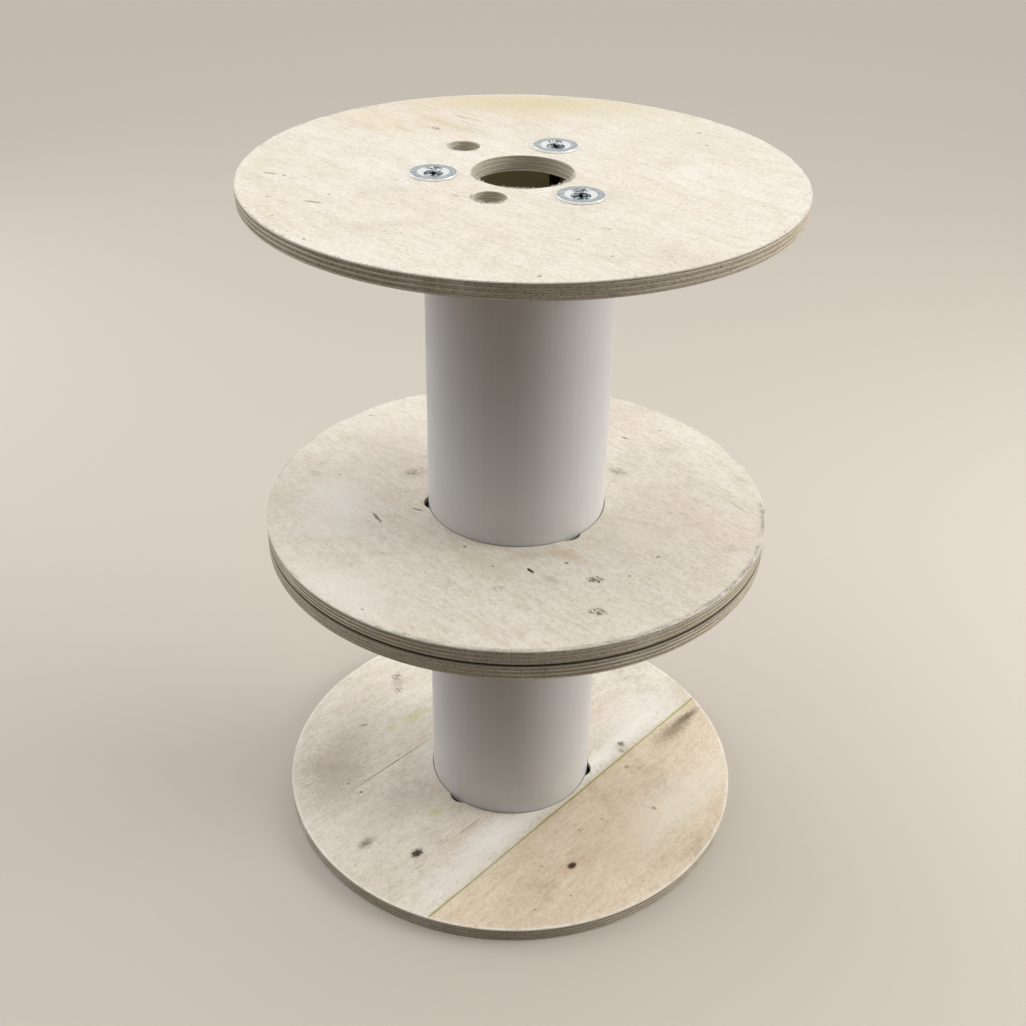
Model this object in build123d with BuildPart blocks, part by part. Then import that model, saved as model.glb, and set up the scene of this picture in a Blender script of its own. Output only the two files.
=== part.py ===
import os

from build123d import *

# Small double cable drum: two like reels, one standing on the other, flange to flange.
# Each reel is a plastic tube between two plywood discs, pulled together by long tie
# bolts that run inside the tube. Millimetres. The drum stands on its end: +Z is its
# axis, and the origin is the middle of the face that it stands on.

# Flanges: round discs of sanded plywood
flange_diameter = 310.0
flange_thickness = 9.0
flange_arris = 0.5
spindle_hole_diameter = 56.0

# Core tube, its ends let into a ring groove in each disc
tube_diameter = 110.0
tube_wall = 2.7
winding_width = 200.0
groove_clearance = 0.5

# Tie bolts: countersunk screws with a cross recess, just inside the tube
bolt_count = 3
bolt_diameter = 6.0
bolt_to_tube = 0.3
head_diameter = 10.8
recess_span = 7.2
recess_wing = 1.9
recess_depth = 2.6
recess_taper = 14.0

# Thin hexagon nuts, and the cup washers that hold them up inside the bottom disc
nut_width = 10.0
nut_height = 3.2
thread_clearance = 0.05
bolt_end_inset = 0.6
bolt_end_past_nut = 0.8
nut_to_cup = 1.5
cup_to_tube = 0.2

# Dished washers under the bolt heads, lying on the top disc
washer_thickness = 1.2
washer_rim = 4.0
dish_drop = 0.8
dish_draw = 0.4
shank_clearance = 0.3
hole_clearance = 0.5

# Two drive holes in each top disc, midway between bolts. One lies a little outside the
# bolts' circle and the other a little inside it.
drive_hole_diameter = 18.0
drive_hole_outset = 6.0
drive_hole_inset = 3.0

# Turn of each reel's first bolt about the drum's axis, from +X
lower_turn = 229.0
upper_turn = 188.0

flange_radius = flange_diameter / 2
tube_radius = tube_diameter / 2
tube_inner_radius = tube_radius - tube_wall
bolt_radius = bolt_diameter / 2
bolt_circle_radius = tube_inner_radius - bolt_to_tube - bolt_radius
head_radius = head_diameter / 2
shank_hole_radius = bolt_radius + shank_clearance
reel_height = 2 * flange_thickness + winding_width

# The cup takes the nut's corners, the bolt hole takes the cup, and the rim laps the hole
nut_polygon = RegularPolygon(nut_width / 2, 6, major_radius=False)
cup_inner_radius = nut_polygon.radius + nut_to_cup
cup_radius = cup_inner_radius + washer_thickness
bolt_hole_radius = cup_radius + hole_clearance
washer_radius = bolt_hole_radius + washer_rim

# The groove's floor lies just above the cup, so its depth is what the cup leaves
cup_depth = bolt_end_inset + bolt_end_past_nut + nut_height + washer_thickness
groove_depth = flange_thickness - cup_depth - cup_to_tube

# The dish just clears the bolt hole, and its 45 degree seat takes the bolt's head
dish_mouth_radius = bolt_hole_radius - hole_clearance + dish_draw
seat_drop = head_radius - shank_hole_radius

os.makedirs("parts", exist_ok=True)


def write_part(builder, name):
    """Label a finished piece and write it."""
    builder.part.label = name
    export_step(builder.part, f"parts/{name}.step")


def bolt_places(turn):
    """The bolt axes of a reel."""
    return PolarLocations(bolt_circle_radius, bolt_count, turn)


def drive_places(turn):
    """The drive holes, one on each side of the first bolt."""
    half_step = 180 / bolt_count
    outer = Vector(bolt_circle_radius + drive_hole_outset, 0).rotate(Axis.Z, turn - half_step)
    inner = Vector(bolt_circle_radius - drive_hole_inset, 0).rotate(Axis.Z, turn + half_step)
    return Locations(outer, inner)


for reel, base, turn in (
    ("lower", 0.0, lower_turn),
    ("upper", reel_height + washer_thickness, upper_turn),
):
    bottom_face = base + flange_thickness
    top_underside = bottom_face + winding_width
    top_face = top_underside + flange_thickness

    # Bottom disc: ring groove for the tube above, recesses for the cup washers' rims below
    with BuildPart() as bottom_flange:
        with BuildSketch(Plane.XY.offset(base)):
            Circle(flange_radius)
            Circle(spindle_hole_diameter / 2, mode=Mode.SUBTRACT)
            with bolt_places(turn):
                Circle(bolt_hole_radius, mode=Mode.SUBTRACT)
        extrude(amount=flange_thickness)
        circles = bottom_flange.edges().filter_by(GeomType.CIRCLE)
        chamfer(circles.group_by(SortBy.RADIUS)[-1], flange_arris)
        with BuildSketch(Plane.XY.offset(bottom_face)):
            Circle(tube_radius + groove_clearance)
            Circle(tube_inner_radius - groove_clearance, mode=Mode.SUBTRACT)
        extrude(amount=-groove_depth, mode=Mode.SUBTRACT)
        with BuildSketch(Plane.XY.offset(base)):
            with bolt_places(turn):
                Circle(washer_radius + hole_clearance)
        extrude(amount=washer_thickness, mode=Mode.SUBTRACT)
    write_part(bottom_flange, f"{reel}_bottom_flange")

    # Core tube, from groove floor to groove floor
    with BuildPart() as core_tube:
        with BuildSketch(Plane.XY.offset(bottom_face - groove_depth)):
            Circle(tube_radius)
            Circle(tube_inner_radius, mode=Mode.SUBTRACT)
        extrude(amount=winding_width + 2 * groove_depth)
    write_part(core_tube, f"{reel}_core_tube")

    # Top disc: the same ring groove below, and the two drive holes
    with BuildPart() as top_flange:
        with BuildSketch(Plane.XY.offset(top_underside)):
            Circle(flange_radius)
            Circle(spindle_hole_diameter / 2, mode=Mode.SUBTRACT)
            with bolt_places(turn):
                Circle(bolt_hole_radius, mode=Mode.SUBTRACT)
            with drive_places(turn):
                Circle(drive_hole_diameter / 2, mode=Mode.SUBTRACT)
        extrude(amount=flange_thickness)
        circles = top_flange.edges().filter_by(GeomType.CIRCLE)
        chamfer(circles.group_by(SortBy.RADIUS)[-1], flange_arris)
        with BuildSketch(Plane.XY.offset(top_underside)):
            Circle(tube_radius + groove_clearance)
            Circle(tube_inner_radius - groove_clearance, mode=Mode.SUBTRACT)
        extrude(amount=groove_depth, mode=Mode.SUBTRACT)
    write_part(top_flange, f"{reel}_top_flange")

    # Heights along a bolt: the head's face in its dish, the cup's floor, the bolt's end
    rim_top = top_face + washer_thickness
    head_face = rim_top - dish_drop
    cup_floor = base + cup_depth - washer_thickness
    shank_end = base + bolt_end_inset

    for number, place in enumerate(bolt_places(turn).local_locations, start=1):
        foot = place.position
        upright = Plane(foot, x_dir=(1, 0, 0), z_dir=(0, -1, 0))
        bolt_axis = Axis(foot, (0, 0, 1))
        underside = Plane(foot).offset(base)

        # Dished washer, turned: flat rim, dish and seat, in sheet of even thickness
        with BuildPart() as bolt_washer:
            with BuildSketch(upright):
                with BuildLine():
                    Polyline(
                        (washer_radius, rim_top),
                        (dish_mouth_radius, rim_top),
                        (head_radius, head_face),
                        (shank_hole_radius, head_face - seat_drop),
                        (shank_hole_radius, head_face - seat_drop - washer_thickness),
                        (head_radius - dish_draw, head_face - washer_thickness - dish_draw),
                        (dish_mouth_radius - dish_draw, top_face),
                        (washer_radius, top_face),
                        close=True,
                    )
                make_face()
            revolve(axis=bolt_axis)
        write_part(bolt_washer, f"{reel}_bolt_washer_{number}")

        # Tie bolt: countersunk head with a cross recess, shank down to below the nut
        with BuildPart() as tie_bolt:
            with BuildSketch(upright):
                with BuildLine():
                    Polyline(
                        (0, head_face),
                        (head_radius, head_face),
                        (bolt_radius, head_face - head_radius + bolt_radius),
                        (bolt_radius, shank_end),
                        (0, shank_end),
                        close=True,
                    )
                make_face()
            revolve(axis=bolt_axis)
            with BuildSketch(Plane(foot).offset(head_face)):
                Rectangle(recess_span, recess_wing)
                Rectangle(recess_wing, recess_span)
            extrude(amount=-recess_depth, taper=recess_taper, mode=Mode.SUBTRACT)
        write_part(tie_bolt, f"{reel}_tie_bolt_{number}")

        # Cup washer: rim flush with the underside, cup up into the bolt hole
        with BuildPart() as nut_washer:
            with BuildSketch(underside):
                Circle(washer_radius)
            extrude(amount=washer_thickness)
            with BuildSketch(underside):
                Circle(cup_radius)
            extrude(amount=cup_depth)
            with BuildSketch(underside):
                Circle(cup_inner_radius)
            extrude(amount=cup_depth - washer_thickness, mode=Mode.SUBTRACT)
            with BuildSketch(underside):
                Circle(shank_hole_radius)
            extrude(amount=cup_depth, mode=Mode.SUBTRACT)
        write_part(nut_washer, f"{reel}_nut_washer_{number}")

        # Thin hexagon nut, up against the cup's floor
        with BuildPart() as tie_nut:
            with BuildSketch(Plane(foot).offset(cup_floor - nut_height)):
                RegularPolygon(nut_width / 2, 6, major_radius=False)
                Circle(bolt_radius + thread_clearance, mode=Mode.SUBTRACT)
            extrude(amount=nut_height)
        write_part(tie_nut, f"{reel}_tie_nut_{number}")
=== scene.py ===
"""A small double cable drum of plywood discs and plastic tube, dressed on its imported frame."""

import math

import bmesh
import bpy
from mathutils import Euler, Matrix, Vector


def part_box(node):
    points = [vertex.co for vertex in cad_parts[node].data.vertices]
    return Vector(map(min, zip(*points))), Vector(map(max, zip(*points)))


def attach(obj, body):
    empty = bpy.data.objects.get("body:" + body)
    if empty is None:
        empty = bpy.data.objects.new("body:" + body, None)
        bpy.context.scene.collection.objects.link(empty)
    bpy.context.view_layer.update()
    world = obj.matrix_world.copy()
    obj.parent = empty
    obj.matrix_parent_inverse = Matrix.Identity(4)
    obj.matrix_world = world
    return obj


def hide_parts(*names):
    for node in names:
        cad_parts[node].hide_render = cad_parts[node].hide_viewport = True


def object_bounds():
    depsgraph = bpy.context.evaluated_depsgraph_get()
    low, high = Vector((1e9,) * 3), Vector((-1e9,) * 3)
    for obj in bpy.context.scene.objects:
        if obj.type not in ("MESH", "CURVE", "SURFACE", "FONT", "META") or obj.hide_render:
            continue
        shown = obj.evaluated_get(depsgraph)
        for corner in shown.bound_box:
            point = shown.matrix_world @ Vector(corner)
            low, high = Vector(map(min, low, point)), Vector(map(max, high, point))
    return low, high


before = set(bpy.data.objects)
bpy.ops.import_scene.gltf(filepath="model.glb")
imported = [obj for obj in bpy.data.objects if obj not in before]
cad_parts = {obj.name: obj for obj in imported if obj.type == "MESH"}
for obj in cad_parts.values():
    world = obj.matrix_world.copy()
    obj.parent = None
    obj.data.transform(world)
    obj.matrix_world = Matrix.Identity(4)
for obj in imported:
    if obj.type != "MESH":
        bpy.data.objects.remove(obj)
cad_low, cad_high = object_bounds()
scene = bpy.context.scene

# Lengths are metres, and mm turns a size that is thought of in millimetres into metres.
# A pattern's scale is the number of its spots in a millimetre, over mm.
mm = 0.001

# Camera: in front of the drum and a little above its top disc, looking down at 32 degrees.
# The lens and the slight roll were worked out from the ellipses of the three flange levels.
camera_pitch = math.radians(32.494)
camera_roll = math.radians(1.160)
camera_data = bpy.data.cameras.new("photo_view")
camera_data.sensor_width = 36
camera_data.lens = 46.515
camera = bpy.data.objects.new("photo_view", camera_data)
camera.location = (-0.00181, -0.70816, 0.66786)
look_down = Euler((math.pi / 2 - camera_pitch, 0, 0)).to_matrix()
camera.rotation_euler = (look_down @ Matrix.Rotation(camera_roll, 3, "Z")).to_euler()
scene.collection.objects.link(camera)
scene.camera = camera

# Studio: a pale floor and surround, one wide lamp overhead and a smaller one at each side.
# Lens and glossy rays see the floor and surround pale, and bounced light finds them darker
# and warm, so that the drum's front stays as shaded as it is under a single roof light.
floor_pale, floor_bounce = "#c9c2b8", "#6c6056"
floor_half = 8.0
floor_drop = 0.1 * mm
surround_pale = "#e2e0dc"
roof_light, side_light, front_light = "#fffefc", "#e0ddd8", "#1a1917"
ambient_strength = 1.2
lamp_aim = Vector((0, 0, 0.25))
lamp_gloss = 0.35
square = ((-1, -1), (1, -1), (1, 1), (-1, 1))


def linear(code):
    """The linear colour of an sRGB hex code."""
    shares = [int(code[i : i + 2], 16) / 255 for i in (1, 3, 5)]
    return (*[s / 12.92 if s <= 0.04045 else ((s + 0.055) / 1.055) ** 2.4 for s in shares], 1)


def add(tree, kind, inputs=(), **settings):
    """Add a node to a tree, with its settings. Its inputs, by name or in order, are values, or
    the nodes and sockets to link, and a list links several to one input."""
    node = tree.nodes.new(kind)
    for name, value in settings.items():
        setattr(node, name, value)
    for key, value in inputs.items() if isinstance(inputs, dict) else enumerate(inputs):
        for item in value if isinstance(value, list) else [value]:
            if isinstance(item, bpy.types.Node):
                item = item.outputs[0]
            if isinstance(item, bpy.types.NodeSocket):
                tree.links.new(item, node.inputs[key])
            else:
                node.inputs[key].default_value = item
    return node


def start_material(name):
    """An empty node material, and its tree."""
    material = bpy.data.materials.new(name)
    material.use_nodes = True
    material.node_tree.nodes.clear()
    return material, material.node_tree


def coated(tree, colour, *coats):
    """A colour under coats in turn, each a share, a tone and maybe a way to blend. The colour
    and the tones are hex codes or come from other nodes."""
    for share, tone, *blend in coats:
        under, over = [linear(c) if isinstance(c, str) else c for c in (colour, tone)]
        colour = add(tree, "ShaderNodeMix", {0: share, 6: under, 7: over}, data_type="RGBA",
                     blend_type=blend[0] if blend else "MIX").outputs[2]
    return colour


def lens_share(tree):
    """1 for a ray from the lens or off a glossy surface, and 0 for one that carries light."""
    path = add(tree, "ShaderNodeLightPath").outputs
    seen = add(tree, "ShaderNodeMath", [path["Is Camera Ray"], path["Is Glossy Ray"]], operation="ADD")
    return add(tree, "ShaderNodeMath", [seen, path["Is Transmission Ray"]], operation="ADD", use_clamp=True)


plaster, tree = start_material("pale_plaster")
tone = coated(tree, floor_bounce, (lens_share(tree), floor_pale))
matt = add(tree, "ShaderNodeBsdfDiffuse", {"Color": tone})
add(tree, "ShaderNodeOutputMaterial", {"Surface": matt})

floor_mesh = bpy.data.meshes.new("floor")
corners = [(x * floor_half, y * floor_half, -floor_drop) for x, y in square]
floor_mesh.from_pydata(corners, [], [(0, 1, 2, 3)])
floor_mesh.materials.append(plaster)
floor = bpy.data.objects.new("floor", floor_mesh)
scene.collection.objects.link(floor)

world = bpy.data.worlds.new("studio")
scene.world = world
world.use_nodes = True
tree = world.node_tree
tree.nodes.clear()
direction = add(tree, "ShaderNodeTexCoord").outputs["Generated"]
direction = add(tree, "ShaderNodeSeparateXYZ", [direction]).outputs
beside = add(tree, "ShaderNodeMapRange", {
    "Value": direction["Y"], "From Min": -0.80, "From Max": -0.10}, interpolation_type="SMOOTHSTEP")
overhead = add(tree, "ShaderNodeMapRange", {
    "Value": direction["Z"], "From Min": 0.1, "From Max": 0.6}, interpolation_type="SMOOTHSTEP")
above = coated(tree, side_light, (overhead, roof_light))
tone = coated(tree, front_light, (beside, above), (lens_share(tree), surround_pale))
sky = add(tree, "ShaderNodeBackground", {"Color": tone, "Strength": ambient_strength})
add(tree, "ShaderNodeOutputWorld", {"Surface": sky})

for lamp_name, place, size, power, colour in (
    ("roof_lamp", (-0.25, -0.15, 1.75), 1.1, 1.7, "#fffaf2"),
    ("right_lamp", (1.25, 0.0, 0.62), 0.6, 9.0, "#fffcf8"),
    ("left_lamp", (-1.20, 0.65, 0.62), 0.7, 4.0, "#f4f6ff"),
):
    lamp_data = bpy.data.lights.new(lamp_name, "AREA")
    lamp_data.size = size
    lamp_data.energy = power
    lamp_data.color = linear(colour)[:3]
    lamp_data.specular_factor = lamp_gloss
    lamp = bpy.data.objects.new(lamp_name, lamp_data)
    lamp.location = place
    lamp.rotation_euler = (lamp_aim - Vector(place)).to_track_quat("-Z", "Y").to_euler()
    scene.collection.objects.link(lamp)
scene.view_settings.view_transform = "Standard"

# Flanges: four discs of 9 mm plywood, seven plies of sanded white veneer with the grain of
# every second ply turned across, sawn round, bored for the spindle, bolts and drive pins,
# and routed with a ring groove that takes the end of the tube.
flange_radius = cad_high.x
flange_arris, hole_arris = 0.5 * mm, 0.12 * mm
spindle_hole_radius = 28.0 * mm
bolt_count = 3
bolt_circle_radius = 49.0 * mm
bolt_hole_radius = 8.974 * mm
bolt_turns = {"lower": math.radians(229), "upper": math.radians(188)}
drive_hole_radius = 9.0 * mm
drive_outset, drive_inset = 6.0 * mm, 3.0 * mm
groove_inner, groove_outer, groove_depth = 51.8 * mm, 55.5 * mm, 3.0 * mm
recess_radius, recess_depth = 13.474 * mm, 1.2 * mm
plies = 7
rows_per_ply = 6
rim_sides, spindle_sides, bolt_hole_sides, drive_hole_sides = 720, 180, 64, 72
tube_sides, washer_sides = 256, 96


def start_tree(name, sockets, kind="GeometryNodeTree", result="Geometry", result_type="Geometry"):
    """A node tree with one result and these inputs, by type, and the inputs' sockets inside it."""
    tree = bpy.data.node_groups.new(name, kind)
    tree.interface.new_socket(result, in_out="OUTPUT", socket_type="NodeSocket" + result_type)
    for socket_type, labels in sockets.items():
        for label in labels:
            tree.interface.new_socket(label, in_out="INPUT", socket_type="NodeSocket" + socket_type)
    return tree, tree.nodes.new("NodeGroupInput").outputs


def grow(tree, name, values):
    """Run a tree with these inputs, and keep what it makes as a plain mesh at the origin."""
    carrier = bpy.data.objects.new(name + "_carrier", bpy.data.meshes.new(name + "_carrier"))
    scene.collection.objects.link(carrier)
    modifier = carrier.modifiers.new("tree", "NODES")
    modifier.node_group = tree
    for item in tree.interface.items_tree:
        if item.in_out == "INPUT":
            modifier[item.identifier] = values[item.name]
    evaluated = carrier.evaluated_get(bpy.context.evaluated_depsgraph_get())
    mesh = bpy.data.meshes.new_from_object(evaluated)
    bpy.data.objects.remove(carrier)
    for index in reversed(range(len(mesh.materials))):
        if mesh.materials[index] is None:
            mesh.materials.pop(index=index)
    piece = bpy.data.objects.new(name, mesh)
    scene.collection.objects.link(piece)
    return piece


def round_axis(tree, angle, reach):
    """The place at an angle round the axis, and at a reach from it."""
    x = add(tree, "ShaderNodeMath", [angle], operation="COSINE")
    y = add(tree, "ShaderNodeMath", [angle], operation="SINE")
    way = add(tree, "ShaderNodeCombineXYZ", [x, y])
    return add(tree, "ShaderNodeVectorMath", {0: way, "Scale": reach}, operation="SCALE")


def from_axis(tree, place):
    """How far a place is from the axis."""
    level = add(tree, "ShaderNodeVectorMath", [place, (1, 1, 0)], operation="MULTIPLY")
    return add(tree, "ShaderNodeVectorMath", [level], operation="LENGTH").outputs["Value"]


def apart(tree, one, other):
    """How far one number is from another."""
    gap = add(tree, "ShaderNodeMath", [one, other], operation="SUBTRACT")
    return add(tree, "ShaderNodeMath", [gap], operation="ABSOLUTE")


def blotches(tree, place, scale, low, high, most=1.0, seed=None, detail=2.0, roughness=0.5):
    """A noise as a share, from 0 where it is low to most where it is high."""
    inputs = {"Vector": place, "Scale": scale, "Detail": detail, "Roughness": roughness}
    if seed is None:
        value = add(tree, "ShaderNodeTexNoise", inputs)
    else:
        value = add(tree, "ShaderNodeTexNoise", inputs | {"W": seed}, noise_dimensions="4D")
    return add(tree, "ShaderNodeMapRange", {
        "Value": value, "From Min": low, "From Max": high, "To Max": most}).outputs[0]


def ply_build(tree, level, outward, grain_way):
    """At a level that is counted in plies: how far the nearest glue line is, whether the ply
    is a crossed one, and how much of the wood that faces outward there is end grain."""
    away = apart(tree, level, add(tree, "ShaderNodeMath", [level], operation="ROUND"))
    whole = add(tree, "ShaderNodeMath", [level], operation="FLOOR")
    crossed = add(tree, "ShaderNodeMath", [whole, 2.0], operation="FLOORED_MODULO")
    facing = add(tree, "ShaderNodeVectorMath", [outward, grain_way], operation="DOT_PRODUCT")
    facing = add(tree, "ShaderNodeMath", [facing.outputs["Value"]], operation="ABSOLUTE")
    facing = add(tree, "ShaderNodeMath", [facing, 2.0], operation="POWER")
    turned_away = add(tree, "ShaderNodeMath", [1.0, facing], operation="SUBTRACT")
    end_grain = add(tree, "ShaderNodeMix", {0: crossed, 2: facing, 3: turned_away})
    return away, crossed, end_grain


# A round wall through plywood: every glue line is a fine groove, end grain stands back
# more roughly than long grain, and a sanding block has broken the arris unevenly.
glue_depth, glue_half_width = 0.12 * mm, 0.24 * mm
ply_relief = 0.10 * mm
least_torn, most_torn = 0.3, 1.5
least_sanded, most_sanded = 0.5, 1.3
wall_tree, socket = start_tree("ply wall", {
    "Geometry": ["Wall"], "Vector": ["Outward"],
    "Float": ["Thickness", "Grain", "Arris", "Sense", "Seed"]})
place = add(wall_tree, "GeometryNodeInputPosition")
height = add(wall_tree, "ShaderNodeSeparateXYZ", [place]).outputs["Z"]
share = add(wall_tree, "ShaderNodeMath", [height, socket["Thickness"]], operation="DIVIDE")
level = add(wall_tree, "ShaderNodeMath", [share, plies, plies / 2], operation="MULTIPLY_ADD")
grain_way = round_axis(wall_tree, socket["Grain"], 1.0)
away, crossed, end_grain = ply_build(wall_tree, level, socket["Outward"], grain_way)
ply_thickness = add(wall_tree, "ShaderNodeMath", [socket["Thickness"], plies], operation="DIVIDE")
away = add(wall_tree, "ShaderNodeMath", [away, ply_thickness], operation="MULTIPLY")
glue = add(wall_tree, "ShaderNodeMapRange", {
    "Value": away, "From Max": glue_half_width, "To Min": glue_depth, "To Max": 0.0})
torn = add(wall_tree, "ShaderNodeTexNoise", {
    "Vector": place, "W": socket["Seed"], "Scale": 0.62 / mm}, noise_dimensions="4D")
tear = add(wall_tree, "ShaderNodeMapRange", {
    "Value": end_grain, "To Min": least_torn * ply_relief, "To Max": most_torn * ply_relief})
rough = add(wall_tree, "ShaderNodeMath", [torn, tear], operation="MULTIPLY")
sanded = add(wall_tree, "ShaderNodeTexNoise", {
    "Vector": place, "W": socket["Seed"], "Scale": 0.16 / mm}, noise_dimensions="4D")
sanded = add(wall_tree, "ShaderNodeMapRange", {
    "Value": sanded, "To Min": least_sanded, "To Max": most_sanded})
half = add(wall_tree, "ShaderNodeMath", [socket["Thickness"], 0.5], operation="MULTIPLY")
from_middle = add(wall_tree, "ShaderNodeMath", [height], operation="ABSOLUTE")
inside = add(wall_tree, "ShaderNodeMath", [half, from_middle], operation="SUBTRACT")
broken = add(wall_tree, "ShaderNodeMath", [socket["Arris"], sanded], operation="MULTIPLY")
broken = add(wall_tree, "ShaderNodeMath", [broken, inside], operation="SUBTRACT")
broken = add(wall_tree, "ShaderNodeMath", [broken, 0.0], operation="MAXIMUM")
broken = add(wall_tree, "ShaderNodeMath", [broken, socket["Arris"]], operation="MINIMUM")
depth = add(wall_tree, "ShaderNodeMath", [glue, rough], operation="ADD")
depth = add(wall_tree, "ShaderNodeMath", [depth, broken], operation="MAXIMUM")
depth = add(wall_tree, "ShaderNodeMath", [depth, socket["Sense"]], operation="MULTIPLY")
offset = add(wall_tree, "ShaderNodeVectorMath", {0: socket["Outward"], "Scale": depth}, operation="SCALE")
moved = add(wall_tree, "GeometryNodeSetPosition", {"Geometry": socket["Wall"], "Offset": offset})
add(wall_tree, "NodeGroupOutput", [moved])

# The whole disc: the blank, less the holes, the groove and the recesses
disc_tree, socket = start_tree("plywood disc", {
    "Float": [
        "Radius", "Thickness", "Base", "Arris", "Grain", "Spindle Hole", "Bolt Circle", "Bolt Turn",
        "Bolt Hole", "Drive Hole", "Drive Outset", "Drive Inset", "Groove Inner", "Groove Outer",
        "Groove Depth", "Groove Side", "Recess Radius", "Recess Depth", "Seed"],
    "Int": ["Bolts", "Drive Holes"], "Material": ["Sawn Edge", "Upper Veneer", "Lower Veneer"]})
thickness = socket["Thickness"]
blank_rows = plies * rows_per_ply
hole_rows = blank_rows + 2
cutter_depth = add(disc_tree, "ShaderNodeMath", [thickness, hole_rows / blank_rows], operation="MULTIPLY")
here = add(disc_tree, "GeometryNodeInputPosition")
outward = add(disc_tree, "ShaderNodeVectorMath", [here, (1, 1, 0)], operation="MULTIPLY")
outward = add(disc_tree, "ShaderNodeVectorMath", [outward], operation="NORMALIZE")


def round_wall(radius, depth, sides, rows):
    """A cylinder, and which way is outward from its own axis, wherever it is put later."""
    cylinder = add(disc_tree, "GeometryNodeMeshCylinder", {
        "Vertices": sides, "Side Segments": rows, "Radius": radius, "Depth": depth}, fill_type="NGON")
    kept = add(disc_tree, "GeometryNodeCaptureAttribute", {"Geometry": cylinder}, domain="POINT")
    kept.capture_items.new("VECTOR", "Outward")
    disc_tree.links.new(outward.outputs[0], kept.inputs["Outward"])
    return kept.outputs["Geometry"], kept.outputs["Outward"]


def worn(wall, wall_outward, arris, sense):
    """A wall with its plies, as one node of the ply wall tree."""
    return add(disc_tree, "GeometryNodeGroup", {
        "Wall": wall, "Outward": wall_outward, "Thickness": thickness, "Grain": socket["Grain"],
        "Arris": arris, "Sense": sense, "Seed": socket["Seed"]}, node_tree=wall_tree)


def on_circle(item, count, first, radius, swing=0.0):
    """Copies of an item at the bolts' spacing, from one angle and radius. Each is further out
    than the last by the swing."""
    number = add(disc_tree, "GeometryNodeInputIndex")
    angle = add(disc_tree, "ShaderNodeMath", [number, bolt_step, first], operation="MULTIPLY_ADD")
    reach = add(disc_tree, "ShaderNodeMath", [number, swing, radius], operation="MULTIPLY_ADD")
    spot = round_axis(disc_tree, angle, reach)
    spots = add(disc_tree, "GeometryNodePoints", {"Count": count, "Position": spot})
    copies = add(disc_tree, "GeometryNodeInstanceOnPoints", {"Points": spots, "Instance": item})
    return add(disc_tree, "GeometryNodeRealizeInstances", [copies])


def raised(item, height):
    """An item moved up by a height."""
    rise = add(disc_tree, "ShaderNodeCombineXYZ", {2: height})
    return add(disc_tree, "GeometryNodeTransform", {"Geometry": item, "Translation": rise})


bolt_step = add(disc_tree, "ShaderNodeMath", [math.tau, socket["Bolts"]], operation="DIVIDE")
half_step = add(disc_tree, "ShaderNodeMath", [bolt_step, 0.5], operation="MULTIPLY")
first_drive = add(disc_tree, "ShaderNodeMath", [socket["Bolt Turn"], half_step], operation="SUBTRACT")

blank = worn(*round_wall(socket["Radius"], thickness, rim_sides, blank_rows), socket["Arris"], -1.0)
spindle = worn(*round_wall(socket["Spindle Hole"], cutter_depth, spindle_sides, hole_rows), hole_arris, 1.0)
wall, wall_outward = round_wall(socket["Bolt Hole"], cutter_depth, bolt_hole_sides, hole_rows)
bolts = on_circle(wall, socket["Bolts"], socket["Bolt Turn"], socket["Bolt Circle"])
bolts = worn(bolts, wall_outward, hole_arris, 1.0)
wall, wall_outward = round_wall(socket["Drive Hole"], cutter_depth, drive_hole_sides, hole_rows)
radius = add(disc_tree, "ShaderNodeMath", [socket["Bolt Circle"], socket["Drive Outset"]], operation="ADD")
swing = add(disc_tree, "ShaderNodeMath", [socket["Drive Outset"], socket["Drive Inset"]], operation="ADD")
swing = add(disc_tree, "ShaderNodeMath", [swing, -1.0], operation="MULTIPLY")
drives = on_circle(wall, socket["Drive Holes"], first_drive, radius, swing)
drives = worn(drives, wall_outward, hole_arris, 1.0)

groove_height = add(disc_tree, "ShaderNodeMath", [socket["Groove Depth"], 2.0], operation="MULTIPLY")
outer = add(disc_tree, "GeometryNodeMeshCylinder", {
    "Vertices": tube_sides, "Radius": socket["Groove Outer"], "Depth": groove_height}, fill_type="NGON")
inner = add(disc_tree, "GeometryNodeMeshCylinder", {
    "Vertices": tube_sides, "Radius": socket["Groove Inner"], "Depth": cutter_depth}, fill_type="NGON")
groove = add(disc_tree, "GeometryNodeMeshBoolean", {"Mesh 1": outer, "Mesh 2": inner},
             operation="DIFFERENCE", solver="MANIFOLD")
half = add(disc_tree, "ShaderNodeMath", [thickness, 0.5], operation="MULTIPLY")
groove_face = add(disc_tree, "ShaderNodeMath", [half, socket["Groove Side"]], operation="MULTIPLY")
groove = raised(groove, groove_face)
recess_height = add(disc_tree, "ShaderNodeMath", [socket["Recess Depth"], 2.0], operation="MULTIPLY")
recess = add(disc_tree, "GeometryNodeMeshCylinder", {
    "Vertices": washer_sides, "Radius": socket["Recess Radius"], "Depth": recess_height}, fill_type="NGON")
has_recesses = add(disc_tree, "ShaderNodeMath", [socket["Recess Depth"]], operation="SIGN")
count = add(disc_tree, "ShaderNodeMath", [has_recesses, socket["Bolts"]], operation="MULTIPLY")
recesses = on_circle(recess.outputs["Mesh"], count, socket["Bolt Turn"], socket["Bolt Circle"])
underside = add(disc_tree, "ShaderNodeMath", [thickness, -0.5], operation="MULTIPLY")
recesses = raised(recesses, underside)
cut = add(disc_tree, "GeometryNodeMeshBoolean", {
    "Mesh 1": blank, "Mesh 2": [spindle, bolts, drives, groove, recesses]},
    operation="DIFFERENCE", solver="MANIFOLD")

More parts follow.
